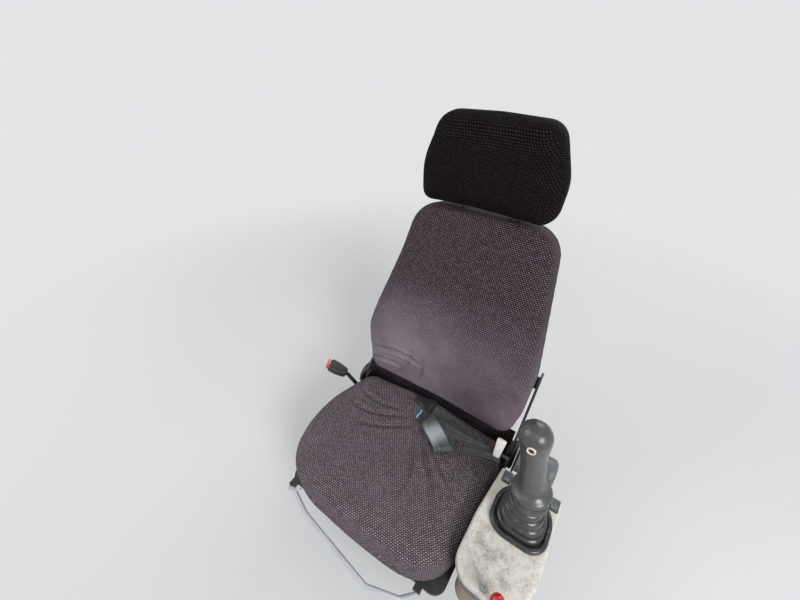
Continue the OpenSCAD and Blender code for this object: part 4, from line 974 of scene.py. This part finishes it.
shellSide = lofted(backOutline, shell["side"])
shellRings = np.concatenate([shellSide, drawnIn(shellSide[-1], np.linspace(1, 0.01, 40)[1:], shellCrown)])
shellRings = np.stack([shellRings[..., 0], shell["rear"] + shellRings[..., 2], shellRings[..., 1]], -1)
makePiece("backrest_shell", [reclined(shellRings)], "mouldedBlackAbs", "backrest", ["back_shell"],
          45)
print("backrest shell made")

podOutline = roundedOutline([(248, -240, 30), (360, -240, 52), (386, -170, 40), (386, 16, 8), (248, 16, 8)], 320)
stick = {"x": 318, "y": -66, "foot": 332}
centre = np.array([stick["x"], stick["y"]])


def bootOutline(half, count=320):
    # a square about the stick with smaller corners in front than behind, as shares of its half width
    radii = ((-1, -1, 0.68), (1, -1, 0.62), (1, 1, 0.96), (-1, 1, 0.96))
    return roundedOutline([(i * half, j * half, k * half) for i, j, k in radii], count) + centre


def byAngle(outline, count):
    # the outline's points at evenly spaced angles round the stick
    offset = outline - centre
    angle = np.arctan2(offset[:, 1], offset[:, 0])
    order = np.argsort(angle)
    angle, reach = angle[order], np.linalg.norm(offset, axis=1)[order]
    wanted = roundTurn(count, -math.pi)
    reach = np.interp(wanted, np.concatenate([angle - 2 * math.pi, angle, angle + 2 * math.pi]), np.tile(reach, 3))
    return centre + reach[:, None] * onCircle(wanted)


# lid: it overhangs the cushion's edge, and its front corner is rounder than the band's
topShell = {"corners": [(230, -237, 46), (360, -240, 52), (386, -170, 40), (386, 16, 8), (246, 16, 6),
                        (232, -108, 220)],
            "foot": 306, "top": 332, "wall": 4, "rim": 16, "round": 7, "hole": 49, "columns": 400, "rows": 60,
            "groove": [(250, -140), (249, -158), (254, -180), (264, -196), (278, -206), (292, -210), (304, -209)],
            "grooveWidth": 3.4, "grooveDepth": 2.6, "screw": (300, -225), "recess": 9, "recessEdge": 1.2,
            "recessDepth": 2.6}
fineOutline = roundedOutline(topShell["corners"], 2400)


def wallRing(inset, height):
    return levelRing(byAngle(insetOutline(fineOutline, inset), topShell["columns"]), height)


outer = wallRing(topShell["round"], 0)[:, :2]
hole = byAngle(bootOutline(topShell["hole"], 1200), topShell["columns"])
flatTop = hole + np.linspace(0, 1, topShell["rows"])[:, None, None] * (outer - hole)
# the groove fades out at its ends, and the screw sits in a round recess
distance, where = lineDistance(flatTop.reshape(-1, 2), softened(topShell["groove"]))
fading = np.sin(math.pi * where) ** 0.3
sink = topShell["grooveDepth"] * np.exp(-(distance / topShell["grooveWidth"]) ** 2) * fading
fromScrew = np.linalg.norm(flatTop.reshape(-1, 2) - topShell["screw"], axis=1)
sink += topShell["recessDepth"] * smoothStep((topShell["recess"] - fromScrew) / topShell["recessEdge"])
surface = np.concatenate([flatTop, (topShell["top"] - sink.reshape(flatTop.shape[:2]))[..., None]], -1)
ceiling = topShell["top"] - topShell["wall"]
foot, rim = topShell["foot"], topShell["rim"]
sides = roundEdge(0, topShell["top"], topShell["round"], steps=8)[::-1][1:]
sides += [(0, foot + 1), (1, foot), (rim, foot), (rim, ceiling)]
rings = np.concatenate([levelRing(hole, ceiling)[None], surface, np.stack([wallRing(*side) for side in sides])])
makePiece("console_top", [gridShape(rings, wrapRows=True)], "stainedConsole", "console",
          ["console_top_shell"], 50)

bandRings = [(2.4, 282), (1.6, 283), (1.6, 304.4), (3, 305.8)]
makePiece("console_belt_line", [lofted(podOutline, bandRings)], "satinDarkAbs", "console",
          ["console_band"])
lowerRings = roundEdge(0, 190, 14, upper=False) + [(0, 279), (0.8, 281.2), (2.5, 281.8)]
makePiece("console_tub", [lofted(podOutline, lowerRings)], "mouldedTaupeAbs", "console",
          ["console_lower_shell"], 50)

# pivot housing: a round-ended drum with a shallow cap, and the neck that carries the console
hub = {"place": (268.3, 80, 300),
       "profile": [(0.4, 0), (36.5, 0), (38, 1.5), (38, 70)] +
                  [(24 + 14 * math.cos(a), 76 + 14 * math.sin(a)) for a in np.linspace(0.05, math.pi / 2, 10)] +
                  [(20, 90), (19, 88.8), (17.6, 88.8), (16.8, 89.8), (0.4, 90)],
       "neck": [(317, 80, 296), (317, 60, 262), (317, 40, 216), (317, 10, 206), (317, -30, 206)],
       "neckSize": (26, 40)}
makePiece("console_hub", [turned(hub["profile"], hub["place"], (1, 0, 0), 72),
                          swept(softened(hub["neck"]), ovalSection(*hub["neckSize"], 32, 5), (1, 0, 0))],
          "satinGreyAbs", "console", ["console_arm"])
print("console shells made")

# ring that clamps the boot, with a rounded crest
clamp = {"half": 62,
         "rings": [(0, 0.2), (0, 5), (1, 8), (3.4, 9.6), (6, 10), (9, 9.4), (11, 7.6), (12, 5), (12, 0.2)]}
ringLoft = lofted(bootOutline(clamp["half"]), [(inset, stick["foot"] + z) for inset, z in clamp["rings"]])
makePiece("boot_clamp", [gridShape(ringLoft, wrapRows=True)], "satinBootRubber", "console",
          ["boot_ring"], 50)

# boot: squarish terraces that turn round and shift towards the leaning collar as they rise
bootLook = {"half": 50, "neck": 33, "steps": 4, "height": 80, "shift": (-5.0, 2.6), "columns": 160,
            "terrace": [(0, 0), (0, 0.52), (0.04, 0.68), (0.2, 0.8), (0.5, 0.86), (0.86, 0.88), (0.98, 0.93)]}
steps = bootLook["steps"]
levels = np.array([(i + inward, i + rise) for i in range(steps) for inward, rise in bootLook["terrace"]] +
                  [(steps, steps)]) / steps
bootRings = []
for inward, done in levels:
    half = bootLook["half"] - (bootLook["half"] - bootLook["neck"]) * inward
    square = byAngle(bootOutline(half, 800), bootLook["columns"])
    circle = centre + half * onCircle(roundTurn(bootLook["columns"], -math.pi))
    ring = square + (circle - square + np.array(bootLook["shift"])) * smoothStep(done)
    bootRings.append(levelRing(ring, stick["foot"] + 1 + bootLook["height"] * done))
makePiece("boot_gaiter", [np.stack(bootRings)], "satinBootRubber", "console", ["boot"], 60)

# joystick: collar, waisted neck and a head that swells to a dome, turned about the leaning axis
grip = {"foot": (318, -66, 416), "lean": 12.9, "azimuth": 158, "length": 215, "head": 30,
        "profile": [(0.4, 0), (33, 0), (35, 1.5), (35, 6), (34, 7), (34, 22), (35, 23), (35, 27), (33.5, 28.6),
                    (33.5, 30), (37.5, 30.4), (39, 32), (39, 36), (38, 38.5), (35.5, 40.6), (31.5, 44), (28, 48.5),
                    (25.6, 54), (24.2, 61), (23.6, 70), (23.5, 84), (23.5, 104), (23.5, 124), (23.8, 134),
                    (24.5, 143), (25.6, 152), (27, 161), (28.4, 170), (29.5, 178)],
        "ribs": 60, "ribCircle": 34.2, "ribFoot": 8.5, "ribLength": 12.5, "ribWidth": 1.8}
c, s = onCircle(math.radians(grip["azimuth"]))
turnZ = np.array([[c, -s, 0], [s, c, 0], [0, 0, 1]])
c, s = onCircle(math.radians(grip["lean"]))
turnY = np.array([[c, 0, s], [0, 1, 0], [-s, 0, c]])
leaned = turnZ @ turnY
dome = grip["head"] * onCircle(np.radians(np.linspace(0, 89.5, 24))) + (0, grip["length"] - grip["head"])
gripForm = turned(grip["profile"] + dome.tolist(), count=96)
makePiece("joystick_grip", [gripForm @ leaned.T + grip["foot"]], "handPolishedNylon", "console",
          ["joystick"], 60)
# ribs round the ring under the bell
ribShapes = []
for c, s in onCircle(roundTurn(grip["ribs"])):
    foot = np.array([grip["ribCircle"] * c, grip["ribCircle"] * s, grip["ribFoot"]])
    line = foot + np.linspace(0, 1, 5)[:, None] * (0, 0, grip["ribLength"])
    rib = swept(line, ovalSection(grip["ribWidth"], grip["ribWidth"], 8), (c, s, 0))
    ribShapes.append(rib @ leaned.T + grip["foot"])
makePiece("joystick_ribs", ribShapes, "handPolishedNylon", "console")

button = {"angle": 115, "height": 181, "reach": 29.6,
          "ring": [(0.3, -4), (8.0, -4), (8.0, 1.2), (7.6, 2.2), (6.6, 2.6), (5.5, 1.8), (5.3, 0.4), (0.3, 0.4)],
          "centre": [(0.3, 0.2), (4.6, 0.2), (4.3, 1.4), (3.0, 2.0), (0.3, 2.2)]}
c, s = onCircle(math.radians(button["angle"]))
outwards = leaned @ np.array([c, s, 0])
place = leaned @ np.array([c * button["reach"], s * button["reach"], button["height"]]) + grip["foot"]
makePiece("button_ring", [turned(button["ring"], place, outwards, 48)], "creamAbs", "console",
          ["joystick_button"])
makePiece("button_centre", [turned(button["centre"], place, outwards, 32)], "mouldedBlackAbs", "console")
print("joystick made")

# rockers: a bezel with a rocker whose top dips across its middle
rocker = {"xs": {"inner": 263, "outer": 371}, "y": -4, "top": 332, "width": 20, "length": 29, "bezel": 0.6,
          "opening": 1.6, "below": 6, "proud": 1.2, "bodyWidth": 16.4, "bodyGap": 2.2, "bodyHeight": 328.0,
          "crest": 6.2, "dip": 2.6}
t = np.linspace(0, 1, 25)
runs = 2 * t - 1
bodySections = ovalSections(rocker["bodyWidth"], 2 * (rocker["crest"] + rocker["dip"] * runs ** 2) *
                            endRounding(t, 24, 0.4), 28, 9)
for name, x in rocker["xs"].items():
    outside, inside = (
        boxOutline(x, rocker["y"], rocker["width"] + 2 * out, rocker["length"] + 2 * out, radius, 80)
        for out, radius in ((rocker["bezel"], 3), (-rocker["opening"], 1.6)))
    bezel = flatRing(outside, inside, rocker["top"] - rocker["below"], rocker["top"] + rocker["proud"], 0.5)
    line = np.stack([0 * t + x, rocker["y"] + runs * (rocker["length"] / 2 - rocker["bodyGap"]),
                     0 * t + rocker["bodyHeight"]], 1)
    makePiece("rocker_switch_" + name, [bezel, swept(line, bodySections)], "rockerGreyAbs", "console",
              ["rocker_" + name])

knob = {"place": (325, -242, 357),
        "profile": [(0.3, 0), (7, 0), (9, 0.6), (12, 4), (13, 8), (13, 20), (12.6, 25), (11, 29.6), (8, 33),
                    (4.5, 34.6), (0.3, 35)]}
makePiece("lock_knob_cap", [turned(knob["profile"], knob["place"])], "glossRedAbs", "console",
          ["lock_knob"])
screwProfile = [(0.2, 328.6), (6.2, 328.6), (6.2, 331), (5.4, 331.8), (2.6, 332), (2.2, 329.2), (0.2, 329.2)]
makePiece("console_screw_head", [turned(screwProfile, (*topShell["screw"], 0))], "zincPlatedSteel", "console",
          ["console_screw"])
print("console made")
